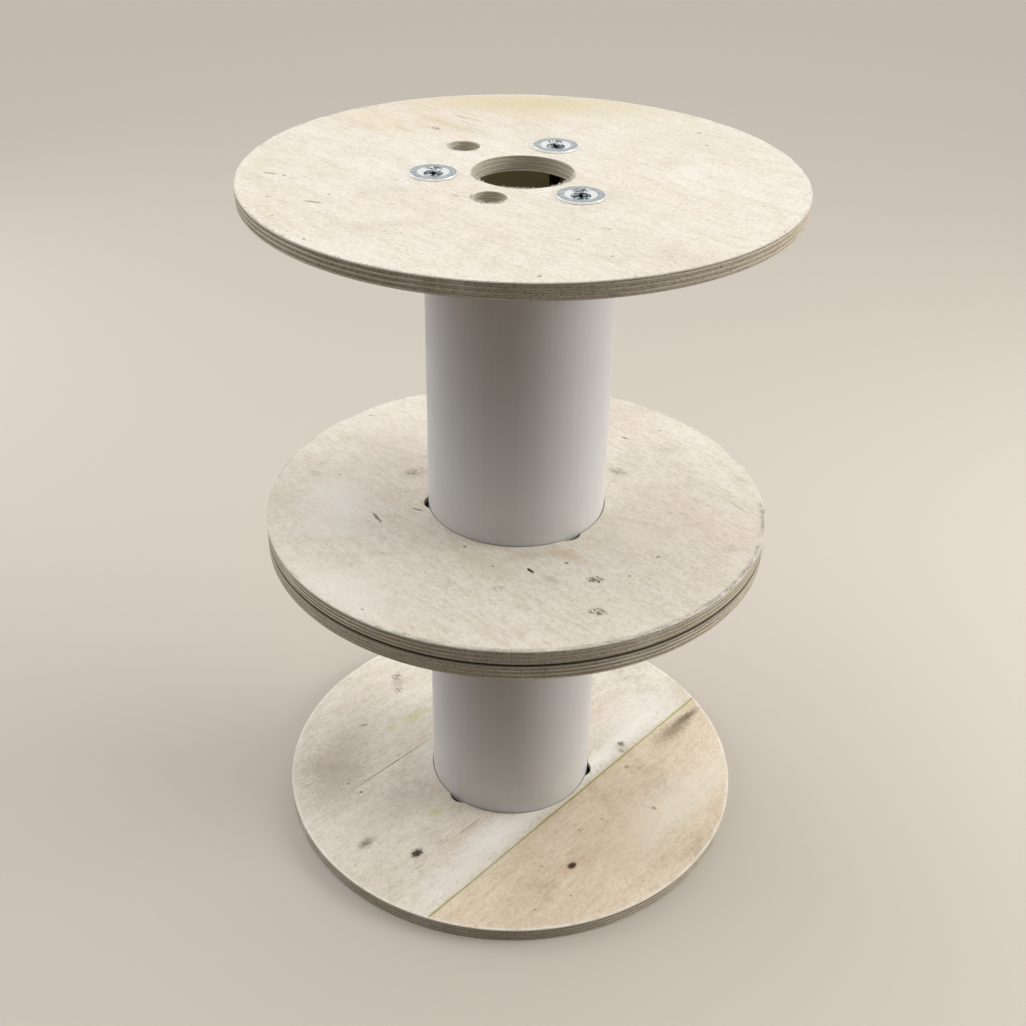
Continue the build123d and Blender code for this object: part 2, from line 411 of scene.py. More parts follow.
# The round walls are shaded smooth and the arrises crisp. What lies level and close enough
# to a face is the veneer of that face, and everything else is sawn edge.
smooth_angle = math.radians(32)
face_tilt, face_height = 0.85, 0.485
crease = add(disc_tree, "GeometryNodeInputMeshEdgeAngle").outputs["Unsigned Angle"]
smooth_edge = add(disc_tree, "FunctionNodeCompare", [crease, smooth_angle], operation="LESS_THAN")
smooth = add(disc_tree, "GeometryNodeSetShadeSmooth", {"Geometry": cut}, domain="FACE")
smooth = add(disc_tree, "GeometryNodeSetShadeSmooth", {
    "Geometry": smooth, "Shade Smooth": smooth_edge}, domain="EDGE")
whole = add(disc_tree, "GeometryNodeRealizeInstances", [smooth])
dressed = add(disc_tree, "GeometryNodeSetMaterial", {"Geometry": whole, "Material": socket["Sawn Edge"]})
tilt = add(disc_tree, "ShaderNodeSeparateXYZ", [add(disc_tree, "GeometryNodeInputNormal")]).outputs["Z"]
lie = add(disc_tree, "ShaderNodeSeparateXYZ", [here]).outputs["Z"]
for side, beyond, veneer in ((1, "GREATER_THAN", "Upper Veneer"), (-1, "LESS_THAN", "Lower Veneer")):
    skin = add(disc_tree, "ShaderNodeMath", [thickness, face_height * side], operation="MULTIPLY")
    face = add(disc_tree, "FunctionNodeBooleanMath", [
        add(disc_tree, "FunctionNodeCompare", [tilt, face_tilt * side], operation=beyond),
        add(disc_tree, "FunctionNodeCompare", [lie, skin], operation=beyond)], operation="AND")
    dressed = add(disc_tree, "GeometryNodeSetMaterial", {
        "Geometry": dressed, "Selection": face, "Material": socket[veneer]})
rise = add(disc_tree, "ShaderNodeMath", [thickness, 0.5, socket["Base"]], operation="MULTIPLY_ADD")
add(disc_tree, "NodeGroupOutput", [raised(dressed, rise)])

# Sawn plywood edge: pale long grain and darker end grain by turns, brown glue lines, level
# streaks and pale nap. The holes' walls are painted paler, as painted light, and painted
# shade darkens the edge beside the seam between the reels.
# The torn spots are drawn a millimetre wide, because real ones are too fine to show.
long_grain, end_grain_tone = "#f1e9da", "#b3a78e"
streak_tone, torn_tone, glue_tone = "#b3a78f", "#6f644d", "#857a60"
nap_tone, seam_shade_tone = "#efece0", "#3f3526"
streak_scale = (0.06 / mm, 0.06 / mm, 1.5 / mm)
end_grain_share, crossed_share = 0.75, 0.12
torn_at_least, torn_by_end_grain = 0.35, 0.5
hole_lit_radius, rim_from_radius = 70 * mm, 100 * mm
seam_shade_full, seam_shade_end = 0.75 * mm, 1.4 * mm
nap_inset, nap_full_inset = 0.75 * mm, 0.35 * mm


def sawn_ply_edge(name, base, thickness, grain_turn, seed, seam):
    """Edge of a disc whose underside is at base, with its face grain at grain_turn, and painted
    shade beside the height of a seam."""
    material, tree = start_material(name)
    coords = add(tree, "ShaderNodeTexCoord").outputs["Object"]
    height = add(tree, "ShaderNodeSeparateXYZ", [coords]).outputs["Z"]
    level = add(tree, "ShaderNodeMapRange", {
        "Value": height, "From Min": base, "From Max": base + thickness, "To Max": plies}, clamp=False)
    wander = add(tree, "ShaderNodeTexNoise", {
        "Vector": coords, "W": seed, "Scale": 0.045 / mm}, noise_dimensions="4D")
    wander = add(tree, "ShaderNodeMapRange", {"Value": wander, "To Min": -0.2, "To Max": 0.2})
    level = add(tree, "ShaderNodeMath", [level, wander], operation="ADD")
    normal = add(tree, "ShaderNodeNewGeometry").outputs["Normal"]
    grain_way = (math.cos(grain_turn), math.sin(grain_turn), 0.0)
    away, crossed, end_share = ply_build(tree, level, normal, grain_way)
    radius = from_axis(tree, coords)
    # Painted light: within the holes the dark end grain and torn spots fade to 0.35 of their share, so that
    # the holes' walls, where little light reaches, are painted paler.
    away_from_holes = add(tree, "ShaderNodeMapRange", {
        "Value": radius, "From Min": hole_lit_radius, "From Max": rim_from_radius, "To Min": 0.35})
    end_share = add(tree, "ShaderNodeMath", [end_share, end_grain_share], operation="MULTIPLY")
    end_share = add(tree, "ShaderNodeMath", [crossed, crossed_share, end_share], operation="MULTIPLY_ADD")
    end_share = add(tree, "ShaderNodeMath", [end_share, away_from_holes], operation="MULTIPLY")

    drawn_level = add(tree, "ShaderNodeMapping", {"Vector": coords, "Scale": streak_scale})
    streaks = blotches(tree, drawn_level, 1.0, 0.38, 0.66, 0.45, seed, 4.0, 0.6)
    torn = blotches(tree, coords, 0.9 / mm, 0.52, 0.62, 1.0, seed, 3.0, 0.65)
    torn_share = add(tree, "ShaderNodeMath", [
        end_share, torn_by_end_grain, torn_at_least], operation="MULTIPLY_ADD")
    torn = add(tree, "ShaderNodeMath", [torn, torn_share], operation="MULTIPLY")
    torn = add(tree, "ShaderNodeMath", [torn, away_from_holes], operation="MULTIPLY")
    glue = add(tree, "ShaderNodeMapRange", {
        "Value": away, "From Min": 0.02, "From Max": 0.13, "To Min": 0.7, "To Max": 0.0},
        interpolation_type="SMOOTHSTEP")
    nap = blotches(tree, coords, 0.024 / mm, 0.55, 0.68, 0.55, seed + 2.0, 9.0, 0.78)
    arris = add(tree, "ShaderNodeMapRange", {
        "Value": apart(tree, height, base + thickness / 2), "From Min": thickness / 2 - nap_inset,
        "From Max": thickness / 2 - nap_full_inset, "To Max": 0.7})
    on_rim = add(tree, "ShaderNodeMath", [radius, rim_from_radius], operation="GREATER_THAN")
    arris = add(tree, "ShaderNodeMath", [arris, on_rim], operation="MULTIPLY")
    # Painted shade: the edge darkens beside the seam, where the two reels meet.
    seam_shade = add(tree, "ShaderNodeMapRange", {
        "Value": apart(tree, height, seam), "From Min": seam_shade_full, "From Max": seam_shade_end,
        "To Min": 0.9, "To Max": 0.0}, interpolation_type="SMOOTHSTEP")
    colour = coated(
        tree, long_grain, (end_share, end_grain_tone), (streaks, streak_tone, "MULTIPLY"),
        (torn, torn_tone), (glue, glue_tone), (nap, nap_tone), (arris, nap_tone), (seam_shade, seam_shade_tone))

    rough = add(tree, "ShaderNodeTexNoise", {
        "Vector": coords, "Scale": 1.5 / mm, "Detail": 4.0, "Roughness": 0.7})
    bump = add(tree, "ShaderNodeBump", {"Strength": 0.6, "Distance": 0.2 * mm, "Height": rough})
    surface = add(tree, "ShaderNodeBsdfPrincipled", {
        "Base Color": colour, "Roughness": 0.85, "Specular IOR Level": 0.25, "Normal": bump})
    add(tree, "ShaderNodeOutputMaterial", {"Surface": surface})
    return material


# Sanded rotary-cut veneer: cream to tan in broad clouds, with faint bands along the grain,
# dirt, grey grime, and marks (knots, streaks, stains, a crack) where this drum has them, and
# broad pale and dark marks of painted light and painted shade. Pores, fibres and nap are
# drawn one or two millimetres wide, because real ones are too fine to show.
mark_tree, socket = start_tree("veneer mark", {
    "Vector": ["Place", "Middle"],
    "Float": ["Turn", "Half Length", "Half Width", "Softness", "Strength", "Dots"]},
    "ShaderNodeTree", "Share", "Float")
fray = add(mark_tree, "ShaderNodeTexNoise", {"Vector": socket["Place"], "Scale": 0.42 / mm, "Detail": 3.0})
fray = add(mark_tree, "ShaderNodeVectorMath", [fray.outputs["Color"], (0.5, 0.5, 0.5)], operation="SUBTRACT")
fray = add(mark_tree, "ShaderNodeVectorMath", {0: fray, "Scale": socket["Half Width"]}, operation="SCALE")
spot = add(mark_tree, "ShaderNodeVectorMath", [socket["Place"], socket["Middle"]], operation="SUBTRACT")
spot = add(mark_tree, "ShaderNodeVectorMath", [spot, fray], operation="ADD")
back_turn = add(mark_tree, "ShaderNodeMath", [socket["Turn"], -1.0], operation="MULTIPLY")
spot = add(mark_tree, "ShaderNodeVectorRotate", {"Vector": spot, "Angle": back_turn}, rotation_type="Z_AXIS")
reach = add(mark_tree, "ShaderNodeCombineXYZ", [socket["Half Length"], socket["Half Width"], 1.0])
spot = add(mark_tree, "ShaderNodeVectorMath", [spot, reach], operation="DIVIDE")
core = add(mark_tree, "ShaderNodeMath", [1.0, socket["Softness"]], operation="SUBTRACT")
cover = add(mark_tree, "ShaderNodeMapRange", {
    "Value": from_axis(mark_tree, spot), "From Min": core, "From Max": 1.0,
    "To Min": socket["Strength"], "To Max": 0.0}, interpolation_type="SMOOTHSTEP")
dots = blotches(mark_tree, socket["Place"], 0.68 / mm, 0.47, 0.52)
dotted = add(mark_tree, "ShaderNodeMix", {0: socket["Dots"], 2: 1.0, 3: dots})
cover = add(mark_tree, "ShaderNodeMath", [cover, dotted], operation="MULTIPLY")
add(mark_tree, "NodeGroupOutput", [cover])

joint_waver = 0.6 * mm
joint_line_tone = "#6b6442"
speck_scale = 0.095 / mm
specked_cells, speck_share = 0.14, 0.6
nap_scale, nap_stretch = 0.52 / mm, 0.35
rim_nap_width, rim_nap_full = 2.4 * mm, 0.6 * mm


def sanded_veneer(name, face_height, grain_turn, seed, tones, grime, marks=(), joint=None):
    """One face of a disc, in a pale, a tan and a blush tone. Marks are rows of the tables
    below, and a joint is (offset in millimetres, tone of the near side, tone of the glue)."""
    material, tree = start_material(name)
    coords = add(tree, "ShaderNodeTexCoord").outputs["Object"]
    along = add(tree, "ShaderNodeVectorRotate", {
        "Vector": coords, "Angle": -grain_turn}, rotation_type="Z_AXIS")

    def drawn(shift, per_mm, stretch, detail, roughness, low, high, most):
        """Blotches drawn out along the grain."""
        place = add(tree, "ShaderNodeMapping", {"Vector": along, "Scale": (stretch, 1.0, 1.0)})
        return blotches(tree, place, per_mm / mm, low, high, most, seed + shift, detail, roughness)

    pale, tan, blush = tones
    colour = coated(
        tree, pale,
        (drawn(0.0, 0.013, 0.75, 5.0, 0.62, 0.40, 0.70, 1.0), tan),
        (drawn(20.0, 0.019, 0.70, 3.0, 0.50, 0.50, 0.72, 0.8), blush))
    if joint:
        offset, near_tone, glue_tone = joint
        across = add(tree, "ShaderNodeSeparateXYZ", [along]).outputs["Y"]
        waver = add(tree, "ShaderNodeTexNoise", {"Vector": coords, "Scale": 0.03 / mm, "Detail": 3.0})
        waver = add(tree, "ShaderNodeMapRange", {
            "Value": waver, "To Min": -joint_waver, "To Max": joint_waver})
        across = add(tree, "ShaderNodeMath", [across, waver], operation="ADD")
        near = add(tree, "ShaderNodeMath", [across, offset * mm], operation="LESS_THAN")
        gap = apart(tree, across, offset * mm)
        glue = add(tree, "ShaderNodeMapRange", {
            "Value": gap, "From Min": 0.3 * mm, "From Max": 2.2 * mm, "To Min": 0.75, "To Max": 0.0},
            interpolation_type="SMOOTHSTEP")
        shut = add(tree, "ShaderNodeMapRange", {
            "Value": gap, "From Min": 0.12 * mm, "From Max": 0.45 * mm, "To Min": 0.9, "To Max": 0.0})
        colour = coated(tree, colour, (near, near_tone, "MULTIPLY"), (glue, glue_tone),
                        (shut, joint_line_tone))

    # Bands, lines and fine fibres along the grain, pores, and grime
    colour = coated(
        tree, colour,
        (drawn(3.0, 0.075, 0.14, 3.0, 0.5, 0.46, 0.72, 0.4), "#f0ebe2", "MULTIPLY"),
        (drawn(4.0, 0.290, 0.26, 3.0, 0.6, 0.44, 0.70, 0.6), "#ece6dc", "MULTIPLY"),
        (drawn(5.0, 0.620, 0.60, 4.0, 0.7, 0.46, 0.68, 0.8), "#e4ded3", "MULTIPLY"),
        (drawn(6.0, 0.820, 0.30, 1.0, 0.5, 0.72, 0.80, 0.5), "#a5967c"),
        (drawn(8.0, 0.026, 1.00, 8.0, 0.7, 0.53, 0.78, grime), "#a8a296", "MULTIPLY"))

    # Dirt: fine spots that gather in patches, and a few single specks
    spots = drawn(9.0, 0.9, 1.0, 2.0, 0.5, 0.655, 0.70, 0.85)
    patches = drawn(10.0, 0.042, 1.0, 3.0, 0.6, 0.55, 0.64, 1.0)
    spots = add(tree, "ShaderNodeMath", [spots, patches], operation="MULTIPLY")
    cells = add(tree, "ShaderNodeTexVoronoi", {
        "Vector": coords, "W": seed, "Scale": speck_scale}, voronoi_dimensions="4D")
    luck = add(tree, "ShaderNodeSeparateColor", [cells.outputs["Color"]]).outputs
    few = add(tree, "ShaderNodeMath", [luck["Red"], specked_cells], operation="LESS_THAN")
    size = add(tree, "ShaderNodeMapRange", {"Value": luck["Green"], "To Min": 0.015, "To Max": 0.06})
    speck = add(tree, "ShaderNodeMath", [cells.outputs["Distance"], size], operation="LESS_THAN")
    speck = add(tree, "ShaderNodeMath", [speck, few], operation="MULTIPLY")
    speck = add(tree, "ShaderNodeMath", [speck, speck_share], operation="MULTIPLY")
    colour = coated(tree, colour, (spots, "#6f6350"), (speck, "#746856"))

    # A face that shows has its marks, and pale nap in a band along its rim
    if marks:
        for x, y, turn, half_length, half_width, softness, strength, dots, tone in marks:
            cover = add(tree, "ShaderNodeGroup", {
                "Place": coords, "Middle": (x * mm, y * mm, face_height), "Turn": math.radians(turn),
                "Half Length": half_length * mm, "Half Width": half_width * mm,
                "Softness": softness, "Strength": strength, "Dots": dots}, node_tree=mark_tree)
            colour = coated(tree, colour, (cover, tone))
        rim = add(tree, "ShaderNodeMapRange", {
            "Value": from_axis(tree, coords), "From Min": flange_radius - rim_nap_width,
            "From Max": flange_radius - rim_nap_full, "To Max": 0.8})
        ragged = drawn(12.0, 0.09, 1.0, 4.0, 0.7, 0.38, 0.58, 1.0)
        rim = add(tree, "ShaderNodeMath", [rim, ragged], operation="MULTIPLY")
        colour = coated(tree, colour, (rim, "#fbf8f0"))

    nap = add(tree, "ShaderNodeTexNoise", {
        "Vector": add(tree, "ShaderNodeMapping", {"Vector": along, "Scale": (nap_stretch, 1.0, 1.0)}),
        "Scale": nap_scale, "Detail": 5.0, "Roughness": 0.7})
    bump = add(tree, "ShaderNodeBump", {"Strength": 0.4, "Distance": 0.18 * mm, "Height": nap})
    surface = add(tree, "ShaderNodeBsdfPrincipled", {
        "Base Color": colour, "Roughness": 0.8, "Specular IOR Level": 0.25, "Normal": bump})
    add(tree, "ShaderNodeOutputMaterial", {"Surface": surface})
    return material


# Marks of the three faces that show, as (x, y, turn, half length, half width, softness,
# strength, dots, colour), in millimetres and degrees from the drum's axis
top_marks = (
    (5, 134, -4, 130, 46, 1.0, 0.75, 0, "#d8cba4"),
    (90, 70, -45, 70, 40, 1.0, 0.30, 0, "#dcd5bd"),
    (-90, 92, -45, 62, 24, 1.0, 0.40, 0, "#e6d6b0"),
    (-48, 88, -45, 46, 9, 1.0, 0.45, 0, "#cdbb90"),
    (-143, 2, 80, 34, 11, 1.0, 0.40, 0, "#d8d8b6"),
    (-38, 101, -46, 9.0, 1.1, 0.7, 0.60, 0, "#83775f"),
    (-30, 96, -46, 13.0, 3.5, 1.0, 0.35, 0, "#b3a680"),
    (-72, 75, -48, 14.0, 4.0, 1.0, 0.35, 0, "#b9a880"),
    (-52, 77, -48, 6.0, 3.5, 0.9, 0.75, 1, "#6e5c40"),
    (-40, 62, -30, 16.0, 10.0, 1.0, 0.45, 0, "#efd9bd"),
    (-44, 46, 0, 6.0, 4.0, 1.0, 0.40, 0, "#d9a987"),
    (-136, -11.5, -18, 5.5, 1.0, 0.5, 0.75, 0, "#857a60"),
    (-128, -14, -18, 1.4, 0.9, 0.4, 0.80, 0, "#5f5540"),
    (-107, -55, -20, 6.5, 1.2, 0.5, 0.75, 0, "#8b7d64"),
    (-139, 12, -30, 6.0, 2.4, 1.0, 0.45, 0, "#c6c893"),
    (-35, -41, 0, 3.4, 1.7, 0.8, 0.60, 0, "#9ba2a3"),
    (-68, -18, 10, 1.3, 0.8, 0.5, 0.65, 0, "#857459"),
    (-100, -43, 30, 1.2, 0.7, 0.4, 0.75, 0, "#6c5f49"),
    (-131, -49, 0, 1.1, 0.8, 0.4, 0.75, 0, "#6c5f49"),
    (-124, -76, 0, 0.9, 0.8, 0.4, 0.70, 0, "#6c5f49"),
    (-104, -107, 0, 1.1, 0.8, 0.4, 0.80, 0, "#5e523d"),
    (104, 78, 0, 1.5, 1.0, 0.4, 0.70, 0, "#75694f"),
    (106, 54, 0, 1.5, 1.0, 0.4, 0.65, 0, "#75694f"),
    (112, 20, 0, 1.3, 0.9, 0.4, 0.60, 0, "#7d7159"),
    (68, 17, 0, 1.2, 0.8, 0.4, 0.60, 0, "#7d7159"),
    (42, -85, -30, 5.0, 1.6, 0.8, 0.60, 1, "#8f7455"),
    (27, -100, 0, 1.2, 0.8, 0.4, 0.65, 0, "#6c5f49"),
    (42, -121, 0, 1.3, 0.9, 0.4, 0.70, 0, "#6c5f49"),
    (8, -147, 0, 1.3, 0.9, 0.4, 0.75, 0, "#5e523d"),
    (124, -48, 0, 1.2, 0.8, 0.4, 0.55, 0, "#7d7159"),
)
middle_marks = (
    # Painted light and painted shade: the first two rows pale the left and front of this face where it is
    # lit, and the rows at (20, 118) and (-85, 70) grey its back, where the top disc shades it.
    (-94, -103, -40, 60, 34, 1.0, 0.75, 0, "#f9f3ec"),
    (-112, -10, 95, 60, 34, 1.0, 0.75, 0, "#faf5ee"),
    (20, 118, 0, 120, 44, 1.0, 0.55, 0, "#d9cfbf"),
    (70, -38, -40, 34, 16, 1.0, 0.60, 0, "#f8f0e2"),
    (-85, 70, -45, 46, 30, 1.0, 0.30, 0, "#dfd6cc"),
    (-20, -72, -40, 42, 13, 1.0, 0.45, 0, "#cfc7ac"),
    (30, -62, -35, 24, 9.0, 1.0, 0.50, 0, "#d9bd9b"),
    (8, -64, 10, 30, 8.0, 1.0, 0.40, 0, "#c5b99c"),
    (-67, 28, 20, 17, 9.0, 1.0, 0.40, 0, "#b9b2a4"),
    (-67, 28, 0, 8.0, 5.0, 0.9, 0.70, 1, "#827a6a"),
    (-85, -26, -60, 8.0, 1.4, 0.5, 0.80, 0, "#68624f"),
    (-61, -16, -20, 4.5, 1.0, 0.5, 0.80, 0, "#574f3f"),
    (9, -79.5, -50, 3.6, 1.2, 0.3, 0.97, 0, "#1e1a14"),
    (20, -88, -50, 9.0, 5.0, 0.9, 0.40, 0, "#b3a28b"),
    (46, -87.5, 0, 6.4, 4.6, 0.6, 0.95, 1, "#4a4334"),
    (46, -87.5, 0, 6.5, 5.0, 1.0, 0.45, 0, "#a89f8b"),
    (46, -118, -10, 6.8, 4.2, 0.6, 0.92, 1, "#4d4636"),
    (46, -118, -10, 7.0, 5.0, 1.0, 0.35, 0, "#aaa18c"),
    (-10, -98, 0, 6.0, 4.0, 0.9, 0.60, 1, "#7a705d"),
    (30, -71, 0, 1.6, 1.2, 0.4, 0.80, 0, "#6a604e"),
    (-30, -56, 0, 1.2, 1.6, 0.4, 0.70, 0, "#7a7362"),
    (-13, -76, 0, 1.0, 0.8, 0.4, 0.70, 0, "#7a705d"),
    (66, 35, -30, 8.0, 5.0, 0.9, 0.85, 1, "#6b6555"),
    (66, 35, -30, 9.0, 6.0, 1.0, 0.35, 0, "#b0ab9b"),
    (73, 80, -40, 3.2, 1.2, 0.5, 0.75, 0, "#655e4e"),
    (98, 91, 0, 2.0, 1.2, 0.6, 0.55, 0, "#8f8773"),
    (84, -63, 0, 1.6, 1.2, 0.4, 0.65, 0, "#7a705d"),
    (66, -83, 0, 1.5, 1.0, 0.4, 0.60, 0, "#7a705d"),
    (-102, 105, 0, 1.5, 1.0, 0.4, 0.60, 0, "#7a705d"),
    (-114, 24, 0, 1.2, 0.9, 0.4, 0.60, 0, "#7a705d"),
    (-130, 25, 0, 7.0, 5.0, 1.0, 0.35, 0, "#b5b0a4"),
    (-84, -120, 0, 1.0, 0.8, 0.4, 0.65, 0, "#7a705d"),
    (139, -6, -57, 18, 0.8, 0.8, 0.55, 0, "#b0a998"),
    (144, 28, 0, 9.0, 7.0, 1.0, 0.35, 0, "#bdb7a8"),
    (130, -53, 0, 10, 7.0, 1.0, 0.25, 0, "#bdb7a8"),
)
bottom_marks = (
    # Painted light and painted shade: the rows at (-90, -60) and (-122, -14) darken the left of this face,
    # and the pale #fffdf8 rows lift the shade round the tube's foot and along the joint.
    (-40, 20, 48, 60, 22, 1.0, 0.50, 0, "#e9e5dc"),
    (-90, -60, 48, 50, 24, 1.0, 0.35, 0, "#cabfb2"),
    (-122, -14, 80, 75, 34, 1.0, 0.62, 0, "#b3a595"),
    (42, -24, 49, 125, 11, 0.9, 0.80, 0, "#fffdf8"),
    (-21, -94, 49, 75, 20, 1.0, 0.40, 0, "#fffdf8"),
    (91, 47, 49, 70, 28, 1.0, 0.50, 0, "#fffdf8"),
    (112, -45, 49, 100, 28, 1.0, 0.65, 0, "#f4efe0"),
    (70, -85, 48, 70, 20, 1.0, 0.35, 0, "#dcc4a4"),
    (-10, -70, 49, 50, 15, 1.0, 0.50, 0, "#fffdf8"),
    (-84, -9, 47, 50, 0.45, 0.4, 0.75, 0, "#6b5f50"),
    (-60.5, -93, 45, 10, 7.0, 1.0, 0.35, 0, "#a4978a"),
    (-60.5, -93, 45, 5.8, 4.2, 0.6, 0.95, 0, "#33271f"),
    (-108, 31, 20, 5.0, 1.4, 0.8, 0.65, 0, "#7b7164"),
    (-89, 87, 60, 7.0, 5.0, 0.8, 0.80, 1, "#605a50"),
    (-86, 71, 60, 6.0, 4.0, 0.8, 0.70, 1, "#605a50"),
    (-87, 80, 60, 13, 7.0, 1.0, 0.40, 0, "#a7a094"),
    (-73, 42, 47, 20, 9.0, 1.0, 0.60, 0, "#d2cd92"),
    (-87, 29, 47, 8.0, 4.0, 1.0, 0.50, 0, "#d2cd92"),
    (-50.5, -55.5, 30, 8.0, 5.5, 1.0, 0.70, 0, "#d0ce8a"),
    (-95, -85, 47, 12, 6.0, 1.0, 0.65, 0, "#8d8678"),
    (-95, -85, 47, 7.0, 4.0, 0.8, 0.60, 1, "#5f584c"),
    (-27, -68, 47, 15, 0.6, 0.6, 0.55, 0, "#8d8375"),
    (-103, -38, 0, 1.4, 1.2, 0.4, 0.75, 0, "#53493d"),
    (-113, -30, 0, 1.2, 1.0, 0.4, 0.65, 0, "#6c6254"),
    (41.5, -101, 40, 22, 9.0, 1.0, 0.40, 0, "#c9a586"),
    (41.5, -101, 40, 4.6, 3.2, 0.6, 0.95, 0, "#38231a"),
    (21.5, -102, 0, 3.0, 2.0, 0.9, 0.50, 0, "#b08a66"),
    (80, 16.5, 0, 3.6, 3.4, 0.7, 0.85, 0, "#4a4138"),
    (80, 9, 0, 4.4, 3.4, 0.8, 0.70, 1, "#6d5c46"),
    (80, 13, 0, 9.0, 8.0, 1.0, 0.40, 0, "#b1aa98"),
    (99, -47.5, 0, 2.4, 2.2, 0.7, 0.65, 0, "#a5693f"),
    (83, -7.5, 0, 2.0, 1.8, 0.6, 0.60, 0, "#856a4c"),
    (47, -69, 0, 1.6, 1.2, 0.6, 0.55, 0, "#92714f"),
    (63, -59, 0, 1.6, 1.2, 0.6, 0.55, 0, "#92714f"),
    (120, 33, 47, 34, 10, 1.0, 0.80, 0, "#8d8268"),
    (131, 48, 47, 22, 4.5, 0.9, 0.80, 0, "#6a6049"),
    (17, -138, 0, 1.5, 1.0, 0.5, 0.55, 0, "#8d7b5e"),
    (40, -126, 0, 1.5, 1.0, 0.5, 0.55, 0, "#8d7b5e"),
)
# The grain's angle, the pale, tan and blush tones, the grime, the marks and the glued joint
# of each flange's upper face. The lower reel's top face shows only in the seam under the
# upper reel, and its dark tones are painted shade. The undersides are a plainer veneer.
under_tones, under_grime = ("#f1ebdf", "#e8dfce", "#eee2d4"), 0.4
faces = {
    "upper_top_flange": (-45, ("#f3efe6", "#ece5d7", "#f2e7dc"), 0.22, top_marks, None),
    "upper_bottom_flange": (-45, ("#f7f3ea", "#eee6d8", "#f2e7dc"), 0.35, middle_marks, None),
    # Painted shade: this face's tones are dark brown, for the seam that the upper reel shades.
    "lower_top_flange": (30, ("#7a6e58", "#6a5f4b", "#726551"), 0.35, (), None),
    "lower_bottom_flange": (49, ("#efeae0", "#ddd5c8", "#e9ddd2"), 0.60, bottom_marks,
                            (-58.4, "#fdf4e7", "#cfca8f")),
}
seam = (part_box("lower_top_flange")[1].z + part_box("upper_bottom_flange")[0].z) / 2
discs = {}
for number, (node, (grain, tones, grime, marks, joint)) in enumerate(faces.items()):
    low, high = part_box(node)
    reel = node.split("_")[0]
    is_top = node.endswith("top_flange")
    turn = math.radians(grain)
    seed = 11.0 * number + 4.0
    disc = grow(disc_tree, node + "_plywood", {
        "Radius": flange_radius, "Thickness": high.z - low.z, "Base": low.z, "Arris": flange_arris,
        "Grain": turn, "Spindle Hole": spindle_hole_radius, "Bolt Circle": bolt_circle_radius,
        "Bolts": bolt_count, "Bolt Turn": bolt_turns[reel], "Bolt Hole": bolt_hole_radius,
        "Drive Holes": 2 if is_top else 0, "Drive Hole": drive_hole_radius,
        "Drive Outset": drive_outset, "Drive Inset": drive_inset,
        "Groove Inner": groove_inner, "Groove Outer": groove_outer, "Groove Depth": groove_depth,
        "Groove Side": -1.0 if is_top else 1.0, "Recess Radius": recess_radius,
        "Recess Depth": 0.0 if is_top else recess_depth, "Seed": seed,
        "Sawn Edge": sawn_ply_edge(node + "_sawn_edge", low.z, high.z - low.z, turn, seed, seam),
        "Upper Veneer": sanded_veneer(
            node + "_upper_veneer", high.z, turn, seed, tones, grime, marks, joint),
        "Lower Veneer": sanded_veneer(
            node + "_lower_veneer", low.z, turn, seed + 5, under_tones, under_grime),
    })
    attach(disc, "root")
    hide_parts(node)
    discs[node] = disc

# Core tubes: smooth white plastic pipe, extruded and sawn square, standing in the flanges'
# grooves. The cable would be wound on it. It is dusty, and has faint lines along its length,
# drawn over two millimetres wide, because real ones are too fine to show.
pipe_inner_radius, pipe_outer_radius = 52.3 * mm, 55.0 * mm
pipe_corner, bore_shade_depth = 0.2 * mm, 1.0 * mm
pipe_white, pipe_streak, pipe_bore_shade, pipe_dust = "#d5d6d7", "#cac8c5", "#dcd6b6", "#c4beb4"
draw_scale = (0.42 / mm, 0.42 / mm, 0.003 / mm)
dusty_height = 50 * mm
crisp_angle = math.radians(34)
most_cut_back = 0.4


def solid(name, shape):
    """A bmesh as an object with outward normals, crisp edges and smooth rounds."""
    bmesh.ops.recalc_face_normals(shape, faces=shape.faces)
    mesh = bpy.data.meshes.new(name)
    shape.to_mesh(mesh)
    shape.free()
    mesh.shade_smooth()
    mesh.set_sharp_from_angle(angle=crisp_angle)
    piece = bpy.data.objects.new(name, mesh)
    scene.collection.objects.link(piece)
    return piece


def turned(name, section, sides, corner=0):
    """A closed solid of revolution about +Z from (radius, height) points, corners eased."""
    eased = []
    for index, point in enumerate(section):
        here = Vector(point)
        if here.x == 0 or corner == 0:
            eased.append(here)
            continue
        to_last = Vector(section[index - 1]) - here
        to_next = Vector(section[(index + 1) % len(section)]) - here
        cut_back = min(corner, most_cut_back * to_last.length, most_cut_back * to_next.length)
        first = here + cut_back * to_last.normalized()
        last = here + cut_back * to_next.normalized()
        for step in (0, 1 / 3, 2 / 3, 1):
            eased.append((1 - step) ** 2 * first + 2 * step * (1 - step) * here + step**2 * last)
    shape = bmesh.new()
    angles = [math.tau * step / sides for step in range(sides)]
    ways = [(math.cos(angle), math.sin(angle)) for angle in angles]
    rings = []
    for radius, height in eased:
        if radius == 0:
            rings.append([shape.verts.new((0, 0, height))] * sides)
        else:
            rings.append([shape.verts.new((radius * x, radius * y, height)) for x, y in ways])
    for ring, following in zip(rings, rings[1:] + rings[:1]):
        for step in range(sides):
            last = (step + 1) % sides
            face = list(dict.fromkeys([ring[step], ring[last], following[last], following[step]]))
            if len(face) > 2:
                shape.faces.new(face)
    return solid(name, shape)


